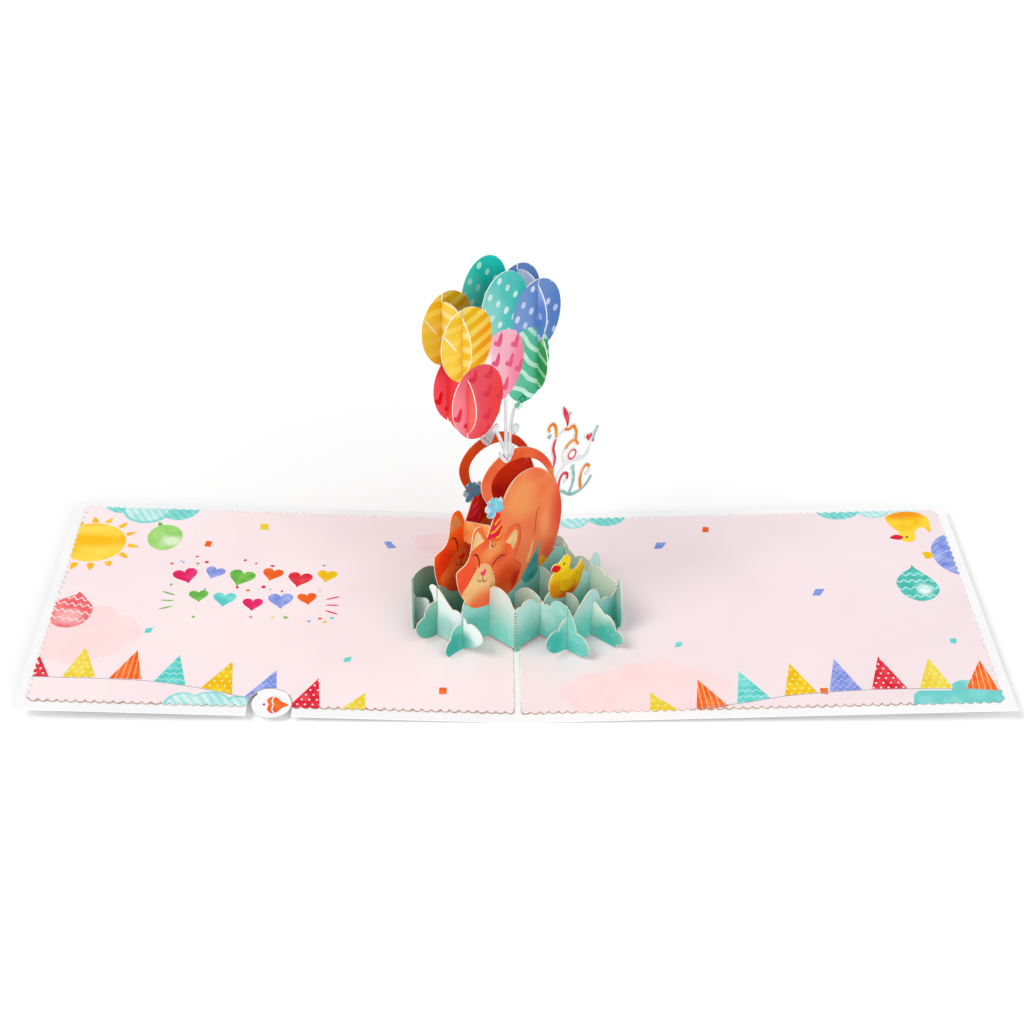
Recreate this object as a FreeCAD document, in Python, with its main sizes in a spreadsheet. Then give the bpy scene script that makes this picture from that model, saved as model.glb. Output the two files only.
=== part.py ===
import FreeCAD, Part
import math
import os
from FreeCAD import Vector, Placement, Rotation

os.makedirs("parts", exist_ok=True)
doc = FreeCAD.newDocument("popup_card")

# Driving dimensions, in millimetres and degrees
SIZES = [
    ("panel_length", 178.0),
    ("panel_width", 127.0),
    ("fold_half", 1.2),
    ("panel_tilt", 1.98),
    ("cover_thick", 0.35),
    ("insert_thick", 0.25),
    ("pocket_gap", 0.25),
    ("insert_length", 172.0),
    ("insert_width", 116.6),
    ("scallop_depth", 1.3),
    ("notch_radius", 8.0),
    ("notch_from_fold", 88.4),
    ("notch_from_edge", 6.2),
    ("tab_radius", 7.1),
    ("tab_from_fold", 87.8),
    ("tongue_width", 11.0),
    ("tongue_length", 22.0),
    ("note_thick", 0.2),
    ("paper_thick", 0.35),
    ("cell_across", 9.6),
    ("cell_along", 8.6),
    ("lattice_side", -0.6),
    ("lattice_front", -25.0),
    ("slat_bottom", 2.3),
    ("slot_level", 10.0),
    ("slot_width", 0.5),
    ("slot_gap", 0.05),
    ("seat_gap", 0.04),
    ("cat_step", -10.7),
    ("balloon_step", -9.0),
    ("fin_step", -9.3),
    ("layer_step", 0.4),
    ("ribbon_width", 1.3),
]
sizes = doc.addObject("Spreadsheet::Sheet", "sizes")
v = {}
for row, (name, number) in enumerate(SIZES, start=1):
    sizes.set("A%d" % row, name)
    sizes.set("B%d" % row, str(number))
    sizes.setAlias("B%d" % row, name)
    v[name] = number
doc.recompute()

# The lattice: slats in two families, at equal angles to the card's long side
CELL = math.hypot(v["cell_across"], v["cell_along"])
SLANT = math.degrees(math.atan2(v["cell_along"], v["cell_across"]))
CELL_TEXT = "sqrt(sizes.cell_across ^ 2 + sizes.cell_along ^ 2)"
LOW = v["slat_bottom"]
nodes = []


def rising(row):
    # Placement of a slat that runs from front left to back right
    base = Vector(v["lattice_side"], v["lattice_front"] - row * v["cell_along"], 0)
    return Placement(base, Rotation(Vector(0, 0, 1), SLANT))


def falling(row):
    # Placement of a slat that runs from back left to front right
    base = Vector(v["lattice_side"], v["lattice_front"] + row * v["cell_along"], 0)
    return Placement(base, Rotation(Vector(0, 0, 1), -SLANT))


def edge(points):
    # A line through two points, or one smooth curve through more
    places = [Vector(s, 0, z) for s, z in points]
    if len(places) == 2:
        return Part.makeLine(places[0], places[1])
    curve = Part.BSplineCurve()
    curve.interpolate(places)
    return curve.toShape()


def outline(runs):
    # A closed outline: each run starts where the one before it ended
    edges = []
    last = runs[-1][-1]
    for run in runs:
        points = [last] + list(run)
        edges.append(edge(points))
        last = run[-1]
    return Part.Wire(edges)


def blank(name, face, thickness="paper_thick"):
    # A flat blank of paper cut from an outline, its mid plane at y = 0
    flat = doc.addObject("Part::Feature", name + "_outline")
    flat.Shape = face
    body = doc.addObject("Part::Extrusion", name + "_blank")
    body.Base = flat
    body.DirMode = "Custom"
    body.Dir = Vector(0, 1, 0)
    body.Solid = True
    body.Symmetric = True
    body.setExpression("LengthFwd", "sizes." + thickness)
    return body


def slot(name, low, high, place_text):
    # A slot through the paper, from one height to another
    box = doc.addObject("Part::Box", name)
    box.setExpression("Length", "sizes.slot_width")
    box.Width = 4
    box.Height = high - low
    box.Placement.Base = Vector(0, -2, low)
    box.setExpression("Placement.Base.x", place_text + " - sizes.slot_width / 2")
    return box


def node_slots(name, cells, upward):
    # Half slots where this slat meets slats of the other family
    boxes = []
    for cell in cells:
        text = CELL_TEXT + " * (%d)" % cell
        label = "%s_slot_%d" % (name, cell + 9)
        if upward:
            boxes.append(slot(label, v["slot_level"] - v["slot_gap"], 60.0, text))
        else:
            boxes.append(slot(label, -1.0, v["slot_level"] + v["slot_gap"], text))
    return boxes


def cut(name, body, tools, place):
    # The blank with its slots cut out, set in place
    pack = doc.addObject("Part::Compound", name + "_slots")
    pack.Links = tools
    made = doc.addObject("Part::Cut", name)
    made.Base = body
    made.Tool = pack
    made.Placement = place
    return made


def keep(made, name):
    # Names a finished piece
    made.Label = name
    nodes.append((name, made))
    return made


def join(name, parts):
    made = doc.addObject("Part::MultiFuse", name)
    made.Shapes = parts
    return made


# Cover: two panels that rise a little from a narrow fold
TILT = v["panel_tilt"]
REACH = v["panel_length"] - v["fold_half"]
COS = math.cos(math.radians(TILT))
SIN = math.sin(math.radians(TILT))


def left_panel_place(x, y, z):
    # Placement on the left panel; x runs out from the fold's edge, towards -X
    turn = Rotation(Vector(0, 1, 0), TILT)
    shift = turn.multVec(Vector(-x, y, z))
    return Placement(Vector(-v["fold_half"], 0, 0) + shift, turn)


def right_panel_place(x, y, z):
    turn = Rotation(Vector(0, 1, 0), -TILT)
    shift = turn.multVec(Vector(x, y, z))
    return Placement(Vector(v["fold_half"], 0, 0) + shift, turn)


def panel_box(name, place):
    box = doc.addObject("Part::Box", name)
    box.setExpression("Length", "sizes.panel_length - sizes.fold_half")
    box.setExpression("Width", "sizes.panel_width")
    box.setExpression("Height", "sizes.cover_thick")
    box.Placement = place
    return box


def notch_tool(name):
    # Half round thumb notch, open to the front edge of the left panel
    x = v["notch_from_fold"] - v["fold_half"]
    y = v["notch_from_edge"] - v["panel_width"] / 2
    round_end = doc.addObject("Part::Cylinder", name + "_round")
    round_end.setExpression("Radius", "sizes.notch_radius")
    round_end.Height = 6
    round_end.Placement = left_panel_place(x, y, -3)
    mouth = doc.addObject("Part::Box", name + "_mouth")
    mouth.setExpression("Length", "sizes.notch_radius * 2")
    mouth.Width = 20
    mouth.Height = 6
    mouth.Placement = left_panel_place(x + v["notch_radius"], y - 20, -3)
    return join(name, [round_end, mouth])


strip = doc.addObject("Part::Box", "cover_fold")
strip.setExpression("Length", "sizes.fold_half * 2")
strip.setExpression("Width", "sizes.panel_width")
strip.setExpression("Height", "sizes.cover_thick")
strip.Placement.Base = Vector(-v["fold_half"], -v["panel_width"] / 2, 0)
half = v["panel_width"] / 2
left_panel = panel_box("cover_left", left_panel_place(REACH, -half, 0))
right_panel = panel_box("cover_right", right_panel_place(0, -half, 0))
cover_card = join("cover_card", [strip, left_panel, right_panel])
cover = doc.addObject("Part::Cut", "cover")
cover.Base = cover_card
cover.Tool = notch_tool("cover_notch")
keep(cover, "cover")


# Printed sheets: scalloped on three sides, straight along the fold
def scallops(start, end, count, out):
    # A row of small half rounds from one corner to the next
    arcs = []
    step = (end - start) * (1.0 / count)
    at = start
    for index in range(count):
        to = start + step * (index + 1)
        middle = (at + to) * 0.5 + out * v["scallop_depth"]
        arcs.append(Part.Arc(at, middle, to).toShape())
        at = to
    return arcs


def insert_sheet(name, side, lift, place):
    length = v["insert_length"]
    wide = v["insert_width"] / 2
    inner_front = Vector(0.02 * side, -wide, 0)
    outer_front = Vector(side * length, -wide, 0)
    outer_back = Vector(side * length, wide, 0)
    inner_back = Vector(0.02 * side, wide, 0)
    edges = scallops(inner_front, outer_front, 52, Vector(0, -1, 0))
    edges += scallops(outer_front, outer_back, 35, Vector(side, 0, 0))
    edges += scallops(outer_back, inner_back, 52, Vector(0, 1, 0))
    edges.append(Part.makeLine(inner_back, inner_front))
    flat = doc.addObject("Part::Feature", name + "_outline")
    flat.Shape = Part.Face(Part.Wire(edges))
    sheet = doc.addObject("Part::Extrusion", name + "_blank")
    sheet.Base = flat
    sheet.DirMode = "Custom"
    sheet.Dir = Vector(0, 0, 1)
    sheet.Solid = True
    sheet.setExpression("LengthFwd", "sizes.insert_thick")
    sheet.Placement = place
    return sheet


left_lift = v["cover_thick"] + v["pocket_gap"]
left_blank = insert_sheet("left_insert", -1, left_lift, left_panel_place(0, 0, left_lift))
left_insert = doc.addObject("Part::Cut", "left_insert")
left_insert.Base = left_blank
left_insert.Tool = notch_tool("insert_notch")
keep(left_insert, "left_insert")
right_lift = v["cover_thick"] + 0.01
right_insert = insert_sheet("right_insert", 1, right_lift, right_panel_place(0, 0, right_lift))
keep(right_insert, "right_insert")

# Thumb tab of the note, whose tongue lies in the pocket under the left sheet
tab_x = v["tab_from_fold"] - v["fold_half"]
tab_y = v["notch_from_edge"] - v["panel_width"] / 2
tab_z = v["cover_thick"] + (v["pocket_gap"] - v["note_thick"]) / 2
tab_disc = doc.addObject("Part::Cylinder", "note_disc")
tab_disc.setExpression("Radius", "sizes.tab_radius")
tab_disc.setExpression("Height", "sizes.note_thick")
tab_disc.Placement = left_panel_place(tab_x, tab_y, tab_z)
tongue = doc.addObject("Part::Box", "note_tongue")
tongue.setExpression("Length", "sizes.tongue_width")
tongue.setExpression("Width", "sizes.tongue_length")
tongue.setExpression("Height", "sizes.note_thick")
tongue.Placement = left_panel_place(tab_x + v["tongue_width"] / 2, tab_y, tab_z)
keep(join("note_tab", [tab_disc, tongue]), "note_tab")

# Folded front strip: a plain wing to the left, a wing with a duck to the right
lap = 0.17
fold_top = 19.9
left_wing = outline([
    [(lap, fold_top)],
    [(-0.9, 20.8), (-3.0, 24.1), (-5.4, 25.9), (-9.5, 26.4), (-12.3, 24.6)],
    [(-15.0, 20.5)],
    [(-19.0, 22.6), (-23.0, 23.2), (-27.0, 21.0)],
    [(-31.0, 23.6), (-35.0, 24.2), (-39.0, 22.4), (-42.4, 18.5), (-44.6, 13.5), (-43.6, 7.5), (-38.0, LOW)],
    [(lap, LOW)],
])
right_wing = outline([
    [(-lap, fold_top)],
    [(1.2, 20.9), (2.8, 20.4)],
    [(3.7, 21.6), (5.9, 22.2), (8.2, 21.4), (10.0, 19.6), (12.2, 17.3)],
    [(14.6, 17.0)],
    [(15.6, 18.9), (17.3, 19.9)],
    [(16.7, 22.5), (17.4, 25.8), (19.2, 28.1)],
    [(18.0, 29.3), (18.0, 30.8), (19.3, 31.7), (21.3, 31.0)],
    [(22.5, 32.0), (24.2, 33.2), (25.9, 33.2), (27.4, 31.6), (27.7, 29.5), (27.3, 27.9)],
    [(27.2, 26.6), (28.1, 25.2), (29.6, 24.6), (31.1, 25.0), (32.5, 26.4), (33.5, 27.6)],
    [(34.0, 26.2)],
    [(35.2, 22.6)],
    [(35.9, 19.8)],
    [(36.6, 20.8)],
    [(37.3, 18.4)],
    [(38.1, 22.4)],
    [(39.0, 25.8), (40.4, 27.0), (42.2, 25.6), (43.7, 21.0), (44.2, 14.5), (42.6, 7.0), (38.2, LOW)],
    [(2.2, LOW)],
    [(2.2, v["cover_thick"] + v["seat_gap"])],
    [(0.2, v["cover_thick"] + v["seat_gap"])],
    [(0.2, LOW)],
    [(-lap, LOW)],
])
wing_a = cut("front_left_wing", blank("front_left", Part.Face(left_wing)),
             node_slots("front_left", [-1, -2, -3], True), falling(0))
wing_b = cut("front_right_wing", blank("front_right", Part.Face(right_wing)),
             node_slots("front_right", [1, 2, 3], False), rising(0))
keep(join("front_strip", [wing_a, wing_b]), "front_strip")

# Folded left strip: the pale leaf in front, a rounded bush behind
corner = -4 * CELL
leaf_wing = outline([
    [(corner - lap, 15.4)],
    [(-49.3, 13.9)],
    [(-48.2, 14.8), (-46.7, 15.3), (-44.8, 16.1), (-43.4, 15.9), (-42.7, 14.4)],
    [(-41.2, 12.6)],
    [(-40.4, 17.0), (-41.6, 20.9), (-42.5, 22.8), (-41.5, 24.3), (-39.9, 24.6), (-37.6, 23.7), (-34.5, 20.9),
     (-30.8, 17.9)],
    [(-29.2, 18.5), (-27.1, 18.2), (-25.0, 16.8), (-23.6, 14.9)],
    [(-21.8, 16.0), (-20.0, 15.9), (-18.1, 15.0), (-16.5, 13.2), (-16.0, 11.4), (-16.8, 9.3), (-19.0, 7.0),
     (-22.0, 4.8), (-26.4, LOW)],
    [(corner - lap, LOW)],
])
left_back_wing = outline([
    [(corner - lap, 15.4)],
    [(-51.9, 19.0), (-50.6, 22.6), (-47.1, 24.2), (-43.7, 23.8), (-40.0, 21.6)],
    [(-36.5, 23.2), (-32.0, 24.4), (-27.8, 23.4), (-24.0, 20.4), (-21.2, 15.0), (-21.4, 8.8), (-25.6, LOW)],
    [(corner - lap, LOW)],
])
wing_c = cut("left_front_wing", blank("left_front", Part.Face(leaf_wing)),
             node_slots("left_front", [-3, -2], True), falling(-2))
wing_d = cut("left_back_wing", blank("left_back", Part.Face(left_back_wing)),
             node_slots("left_back", [-3, -2], False), rising(-6))
keep(join("left_strip", [wing_c, wing_d]), "left_strip")

# Folded right strip: leaf and butterfly lobe in front, a cloud edge behind
corner = 4 * CELL
right_front = outline([
    [(corner + lap, 18.3)],
    [(48.4, 14.6)],
    [(46.1, 16.2), (42.8, 16.4)],
    [(42.2, 18.6), (41.2, 21.4), (39.4, 23.4), (36.9, 23.8), (34.6, 22.2), (31.9, 19.2), (28.4, 15.6)],
    [(27.4, 14.8)],
    [(26.4, 16.8), (25.2, 17.3), (23.2, 16.5), (21.7, 14.3), (21.2, 12.8)],
    [(18.9, 14.1), (16.8, 13.2), (15.1, 11.3), (15.2, 8.8), (17.1, 5.7), (20.2, 3.4), (23.4, 2.7)],
    [(25.2, LOW)],
    [(corner + lap, LOW)],
])
right_back = outline([
    [(corner + lap, 18.3)],
    [(48.6, 20.9), (47.0, 21.0), (45.7, 20.5)],
    [(43.7, 22.5), (41.5, 22.9), (39.8, 22.1)],
    [(37.6, 23.6), (35.1, 24.0), (32.8, 23.2), (31.1, 21.9)],
    [(30.0, 23.0), (28.2, 22.2)],
    [(27.4, 25.2), (25.4, 27.4), (22.8, 27.8), (20.4, 25.4), (19.3, 20.0), (19.2, 13.0), (20.6, 6.6), (25.4, LOW)],
    [(corner + lap, LOW)],
])
wing_e = cut("right_front_wing", blank("right_front", Part.Face(right_front)),
             node_slots("right_front", [2, 3], False), rising(2))
wing_f = cut("right_back_wing", blank("right_back", Part.Face(right_back)),
             node_slots("right_back", [2, 3], True), falling(6))
keep(join("right_strip", [wing_e, wing_f]), "right_strip")

# Straight slats
front_cloud = outline([
    [(28.4, LOW)],
    [(30.8, 2.4), (33.2, 2.6), (35.2, 4.0), (36.4, 6.8), (35.7, 9.6), (33.2, 11.7), (30.2, 12.1)],
    [(29.8, 14.2), (28.6, 17.0), (27.0, 19.9), (25.4, 21.8), (23.6, 21.9)],
    [(21.8, 22.3), (19.5, 21.6), (17.9, 19.7), (17.5, 17.3)],
    [(15.6, 17.9), (14.4, 17.2)],
    [(12.2, 19.2), (9.4, 20.6), (6.2, 20.7), (3.0, 19.0), (0.7, 15.5)],
    [(-1.4, 18.4), (-5.0, 21.0), (-9.4, 21.4), (-13.4, 18.6)],
    [(-16.4, 21.8), (-20.6, 23.2), (-25.0, 22.2), (-28.8, 18.8), (-31.2, 13.4), (-30.6, 7.4), (-25.4, LOW)],
])
front_blank = blank("front_cloud", Part.Face(front_cloud))
keep(cut("front_slat", front_blank, node_slots("front_cloud", [2, 1, 0, -1, -2], True), falling(2)), "front_slat")
back_cloud = outline([
    [(50.7, LOW)],
    [(50.9, 4.4)],
    [(52.0, 4.8), (53.3, 5.6), (54.0, 7.6), (53.3, 9.3), (51.7, 10.3), (50.1, 10.1)],
    [(49.7, 11.8), (48.9, 13.0)],
    [(47.8, 14.6), (46.1, 15.3), (44.3, 14.9)],
    [(42.0, 16.9), (39.6, 18.4)],
    [(36.0, 15.6), (32.5, 12.6)],
    [(31.7, 14.6), (30.2, 15.8), (28.0, 16.2), (25.0, 15.2), (22.0, 16.4)],
    [(20.4, 19.0), (18.2, 20.7), (15.6, 21.5), (12.6, 21.0)],
    [(9.0, 20.0)],
    [(6.0, 22.4), (2.0, 23.6), (-2.4, 22.6), (-5.8, 18.8), (-7.0, 12.6), (-5.8, 6.8), (-2.2, LOW)],
    [(-0.4, LOW)],
    [(-0.4, v["cover_thick"] + v["seat_gap"])],
    [(1.6, v["cover_thick"] + v["seat_gap"])],
    [(1.6, LOW)],
])
back_blank = blank("back_cloud", Part.Face(back_cloud))
keep(cut("back_slat", back_blank, node_slots("back_cloud", [3, 2, 1, 0], True), falling(4)), "back_slat")


# Cats: bush, head, party hat, body and tail ring cut in one sheet
def moved(points, step):
    return [(s + step, z) for s, z in points]


def cat_figure(step):
    # From the head's cheek, over hat and tail, to the foot of the body
    runs = [
        [(-27.3, 39.8), (-25.0, 40.5), (-23.0, 42.6), (-21.9, 46.4), (-21.1, 51.6), (-19.8, 54.1), (-18.0, 54.4),
         (-16.0, 52.2), (-14.3, 47.6)],
        [(-10.9, 55.8)],
        [(-12.9, 55.6), (-14.1, 56.8), (-13.3, 58.4)],
        [(-14.9, 59.2), (-15.1, 60.9), (-13.8, 61.7)],
        [(-15.1, 64.2), (-16.8, 68.4), (-17.0, 72.9), (-14.4, 77.1), (-9.6, 79.8), (-3.8, 80.8), (2.6, 79.7),
         (9.2, 75.9), (14.3, 70.7), (17.4, 65.4), (18.6, 60.5)],
        [(20.6, 55.2), (22.7, 48.2), (23.1, 41.2), (21.9, 33.6), (19.4, 26.9)],
    ]
    return [moved(run, step) for run in runs]


def tail_hole(step):
    runs = [
        [(-12.2, 67.0), (-12.2, 70.8), (-9.5, 74.2), (-4.6, 75.9), (1.1, 75.6), (6.4, 73.4), (11.1, 69.8),
         (14.5, 65.4), (16.4, 61.9)],
        [(13.4, 65.4), (9.4, 67.9), (3.6, 68.8), (-1.6, 67.0), (-4.9, 63.6), (-6.3, 60.9)],
        [(-7.6, 62.6), (-8.8, 62.0)],
        [(-9.8, 63.3), (-11.0, 63.2)],
    ]
    return outline([moved(run, step) for run in runs])


def slit(name, place, low, high):
    # Narrow slit that takes the spacer's tongue
    return slot(name, low, high, CELL_TEXT + " * (%d)" % place)


front_runs = [
    [(-33.2, 2.6), (-34.4, 4.8), (-34.2, 6.9), (-33.2, 8.5), (-31.9, 9.9)],
    [(-31.5, 12.0), (-30.7, 13.5), (-29.4, 14.6), (-27.6, 14.6)],
    [(-26.7, 13.4)],
    [(-26.7, 17.0), (-26.3, 20.6), (-25.0, 24.4)],
    [(-27.0, 28.4), (-28.5, 33.6), (-29.0, 38.6)],
]
front_runs += cat_figure(0.0)
front_runs += [
    [(21.6, 26.2), (25.0, 24.6), (28.4, 21.4), (30.8, 16.8), (31.4, 11.4), (29.8, 6.0), (25.2, LOW)],
    [(-30.6, LOW)],
    [(-32.8, 2.0)],
]
front_face = Part.Face(outline(front_runs)).cut(Part.Face(tail_hole(0.0)))
front_tools = node_slots("front_cat", [-2, -1, 0, 1, 2], False)
front_tools.append(slit("front_cat_slit", -1, 42.0, 46.0))
keep(cut("front_cat", blank("front_cat", front_face), front_tools, rising(-2)), "front_cat")

step = v["cat_step"]
back_runs = [
    [(-41.4, 2.4), (-44.1, 3.1), (-46.5, 4.7), (-48.6, 7.8), (-49.1, 10.7), (-47.7, 12.6), (-45.3, 13.4)],
    [(-44.9, 15.0), (-43.9, 17.0), (-42.3, 18.2), (-40.4, 18.3)],
    [(-38.6, 18.6)],
    [(-37.4, 22.2)],
    [(-38.9, 27.5), (-39.9, 33.6), (-39.9, 38.6)],
]
back_runs += cat_figure(step)
back_runs += [
    [(10.2, 22.0), (10.0, 15.0), (8.4, 8.4), (4.6, LOW)],
    [(-38.5, LOW)],
]
back_face = Part.Face(outline(back_runs)).cut(Part.Face(tail_hole(step)))
back_tools = node_slots("back_cat", [-3, -2, -1, 0], False)
back_tools.append(slit("back_cat_slit", -2, 42.0, 46.0))
keep(cut("back_cat", blank("back_cat", back_face), back_tools, rising(-4)), "back_cat")

# Spacer between the cats, with a tongue through a slit in each
near = -CELL
far = -2 * CELL
room = v["paper_thick"] / 2 + 0.1
spacer_outline = outline([
    [(near - room, 42.2)],
    [(near + 0.3, 42.2)],
    [(near + 0.3, 45.8)],
    [(near - room, 45.8)],
    [(near - room, 52.4)],
    [(far + room, 48.6)],
    [(far + room, 45.8)],
    [(far - 1.4, 45.8)],
    [(far - 1.4, 42.2)],
    [(far + room, 42.2)],
    [(far + room, 39.6)],
    [(near - room, 39.6)],
])
spacer = blank("cat_spacer", Part.Face(spacer_outline))
spacer.Placement = falling(0)
keep(spacer, "cat_spacer")


# End leaves: each stands against a strip's fold, with a foot glued on the sheet
def end_leaf(name, side, aim, low, foot_place):
    fold = Vector(v["lattice_side"] + side * 4 * v["cell_across"], v["lattice_front"] + 2 * v["cell_along"], 0)
    shape = outline([
        [(0.6, 14.5)],
        [(1.4, 19.6), (2.8, 24.4)],
        [(5.0, 22.4), (7.4, 17.8), (8.9, 12.4), (8.6, 7.6), (6.8, 4.2), (4.2, low)],
        [(0.6, low)],
    ])
    leaf = blank(name, Part.Face(shape))
    leaf.Placement = Placement(fold, Rotation(Vector(0, 0, 1), aim))
    foot = doc.addObject("Part::Box", name + "_foot")
    foot.Length = 2.3
    foot.Width = 2.2
    foot.Height = 0.35
    foot.Placement = foot_place
    return keep(join(name, [leaf, foot]), name)


left_top = left_lift + v["insert_thick"] + v["seat_gap"]
right_top = right_lift + v["insert_thick"] + v["seat_gap"]
end_leaf("left_leaf", -1, -84.0, 2.34, left_panel_place(37.5, -13.4, left_top))
end_leaf("right_leaf", 1, -80.0, 2.12, right_panel_place(35.1, -13.4, right_top))


# Balloons
def egg(s, z, half_wide, half_high, turn=0.0):
    # A balloon: widest a little above its middle
    places = []
    count = 14
    lean = math.radians(turn)
    for index in range(count):
        angle = 2 * math.pi * index / count
        x = half_wide * math.sin(angle) * (1 + 0.06 * math.cos(angle))
        y = half_high * math.cos(angle)
        side = x * math.cos(lean) - y * math.sin(lean)
        up = x * math.sin(lean) + y * math.cos(lean)
        places.append(Vector(s + side, 0, z + up))
    curve = Part.BSplineCurve()
    curve.interpolate(Points=places, PeriodicFlag=True)
    return Part.Face(Part.Wire(curve.toShape()))


def ribbon(points, width):
    # A strip of even width along a smooth line
    places = [Vector(s, 0, z) for s, z in points]
    line = Part.BSplineCurve()
    line.interpolate(places)
    first, last = line.FirstParameter, line.LastParameter
    count = 4 * (len(places) - 1)
    one, other = [], []
    for index in range(count + 1):
        at = first + (last - first) * index / count
        along = line.tangent(at)[0]
        out = Vector(-along.z, 0, along.x) * (width / 2)
        one.append(line.value(at) + out)
        other.append(line.value(at) - out)
    sides = []
    for row in (one, other[::-1]):
        curve = Part.BSplineCurve()
        curve.interpolate(row)
        sides.append(curve.toShape())
    edges = [sides[0], Part.makeLine(one[-1], other[-1]), sides[1], Part.makeLine(other[0], one[0])]
    return Part.Face(Part.Wire(edges))


def disc(s, z, radius):
    ring = Part.Circle(Vector(s, 0, z), Vector(0, 1, 0), radius)
    return Part.Face(Part.Wire(ring.toShape()))


def merged(faces):
    # One sheet from overlapping outlines
    blocks = [face.extrude(Vector(0, 1, 0)) for face in faces]
    whole = blocks[0].fuse(blocks[1:]).removeSplitter()
    flat = [face for face in whole.Faces if abs(face.CenterOfMass.y) < 1e-6]
    if len(flat) != 1:
        raise RuntimeError("a die cut piece fell into %d pieces" % len(flat))
    return flat[0]


BALLOONS = {
    "teal": (-7.5, 138.6, 10.3, 14.4, 2.0),
    "blue": (7.7, 131.1, 11.0, 13.9, 6.0),
    "yellow": (-24.4, 131.7, 10.9, 14.0, 6.0),
    "pink": (-9.2, 117.5, 10.4, 13.6, -4.0),
    "green": (3.2, 113.2, 10.6, 14.4, 3.0),
    "red": (-19.3, 107.3, 11.2, 14.4, 8.0),
}
# Where each fin crosses the front sheet, its middle height and half height
FINS = {
    "yellow": (-26.2, 131.3, 12.8),
    "blue": (7.8, 131.4, 13.2),
    "red": (-24.0, 107.4, 12.6),
    "green": (8.9, 112.5, 14.0),
}
fin_shift = v["fin_step"]
fin_back = math.hypot(
    fin_shift * math.cos(math.radians(SLANT)),
    2 * v["cell_along"] + fin_shift * math.sin(math.radians(SLANT)),
)
fin_aim = math.degrees(math.atan2(
    -(2 * v["cell_along"] + fin_shift * math.sin(math.radians(SLANT))),
    -fin_shift * math.cos(math.radians(SLANT)),
))


def balloon_sheet(name, row, step, slot_step):
    width = v["ribbon_width"]
    faces = [egg(*sizes_of) for sizes_of in BALLOONS.values()]
    strings = [
        [(-6.4, 105.0), (-6.1, 92.0), (-5.6, 78.6)],
        [(-1.2, 99.6), (-3.4, 93.6), (-4.0, 86.0), (-4.2, 78.6)],
        [(-12.0, 94.6), (-9.4, 89.6), (-5.7, 79.4)],
        [(-8.6, 82.4), (-6.9, 78.6), (-5.0, 77.3), (-3.4, 79.0), (-2.4, 82.6)],
    ]
    faces += [ribbon(points, width) for points in strings]
    faces += [disc(-1.7, 89.4, 2.1), disc(0.2, 98.4, 1.7), disc(-10.9, 93.6, 1.6)]
    face = merged(faces)
    face.translate(Vector(step, 0, 0))
    tools = []
    for colour, (s, z, high) in FINS.items():
        at = str(s + slot_step)
        if colour in ("yellow", "blue"):
            tools.append(slot(name + "_" + colour, z - v["slot_gap"], z + 24.0, at))
        else:
            tools.append(slot(name + "_" + colour, z - 24.0, z + v["slot_gap"], at))
    place = rising(row)
    place.Base = place.Base + place.Rotation.multVec(Vector(0, -v["layer_step"], 0))
    return keep(cut(name, blank(name, face), tools, place), name)


balloon_sheet("front_balloons", -2, 0.0, 0.0)
balloon_sheet("back_balloons", -4, v["balloon_step"], fin_shift)


def fin(colour):
    # A balloon shaped cross piece, centred between the two balloon sheets
    name = colour + "_fin"
    s, z, high = FINS[colour]
    face = egg(-fin_back / 2, z, 12.2, high)
    tools = []
    for index, at in enumerate((0.0, -fin_back)):
        if colour in ("yellow", "blue"):
            tools.append(slot("%s_slot_%d" % (name, index), z - 24.0, z + v["slot_gap"], str(at)))
        else:
            tools.append(slot("%s_slot_%d" % (name, index), z - v["slot_gap"], z + 24.0, str(at)))
    front = rising(-2)
    base = front.Base + front.Rotation.multVec(Vector(s, -v["layer_step"], 0))
    place = Placement(base, Rotation(Vector(0, 0, 1), fin_aim))
    return keep(cut(name, blank(name, face), tools, place), name)


for colour in FINS:
    fin(colour)

# Streamer: curls, a plume, a heart and dots cut in one, glued behind the front cat
curls = [
    ([(16.8, 60.6), (19.2, 66.8), (18.2, 72.0), (19.6, 76.6), (19.2, 80.6), (17.4, 82.8), (15.7, 81.6), (16.4, 79.8)], 1.7),
    ([(19.4, 76.0), (21.8, 76.7), (24.2, 78.2)], 1.5),
    ([(23.6, 78.2), (26.0, 77.1), (28.3, 77.5), (29.8, 74.2), (29.6, 71.0), (31.3, 68.2)], 2.0),
    ([(29.5, 71.2), (26.4, 70.8), (24.4, 69.0), (23.7, 66.2), (24.4, 63.4), (26.6, 62.3)], 1.7),
    ([(19.4, 51.0), (21.0, 58.0), (24.3, 61.8), (28.2, 62.6), (33.0, 61.2), (35.9, 62.4), (37.8, 65.4), (39.2, 69.0),
      (41.2, 72.4)], 1.7),
    ([(19.6, 50.6), (23.0, 51.0), (27.4, 47.6), (31.6, 46.9), (35.6, 48.0), (38.8, 51.2)], 1.9),
    ([(21.6, 51.2), (21.8, 55.6), (23.4, 58.4), (25.8, 57.6), (25.8, 55.2), (24.2, 54.6)], 1.7),
    ([(26.8, 47.8), (28.6, 51.0), (29.4, 54.6), (28.8, 58.4)], 1.7),
    ([(33.4, 47.2), (32.8, 51.4), (33.6, 55.4), (35.8, 57.2), (37.6, 55.6), (36.8, 53.4), (35.2, 53.6)], 1.7),
]
streamer_faces = [ribbon(points, width) for points, width in curls]
streamer_faces += [disc(28.1, 65.2, 2.7), disc(26.1, 83.6, 1.0), disc(32.0, 62.6, 0.8), disc(38.9, 66.8, 0.9)]
streamer_faces += [disc(16.2, 78.2, 1.2), disc(28.7, 59.2, 1.3)]
plume = outline([
    [(26.4, 80.6), (25.9, 83.8), (22.9, 88.4)],
    [(22.6, 84.8), (23.9, 81.8), (24.8, 77.6)],
    [(26.0, 77.4)],
])
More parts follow.
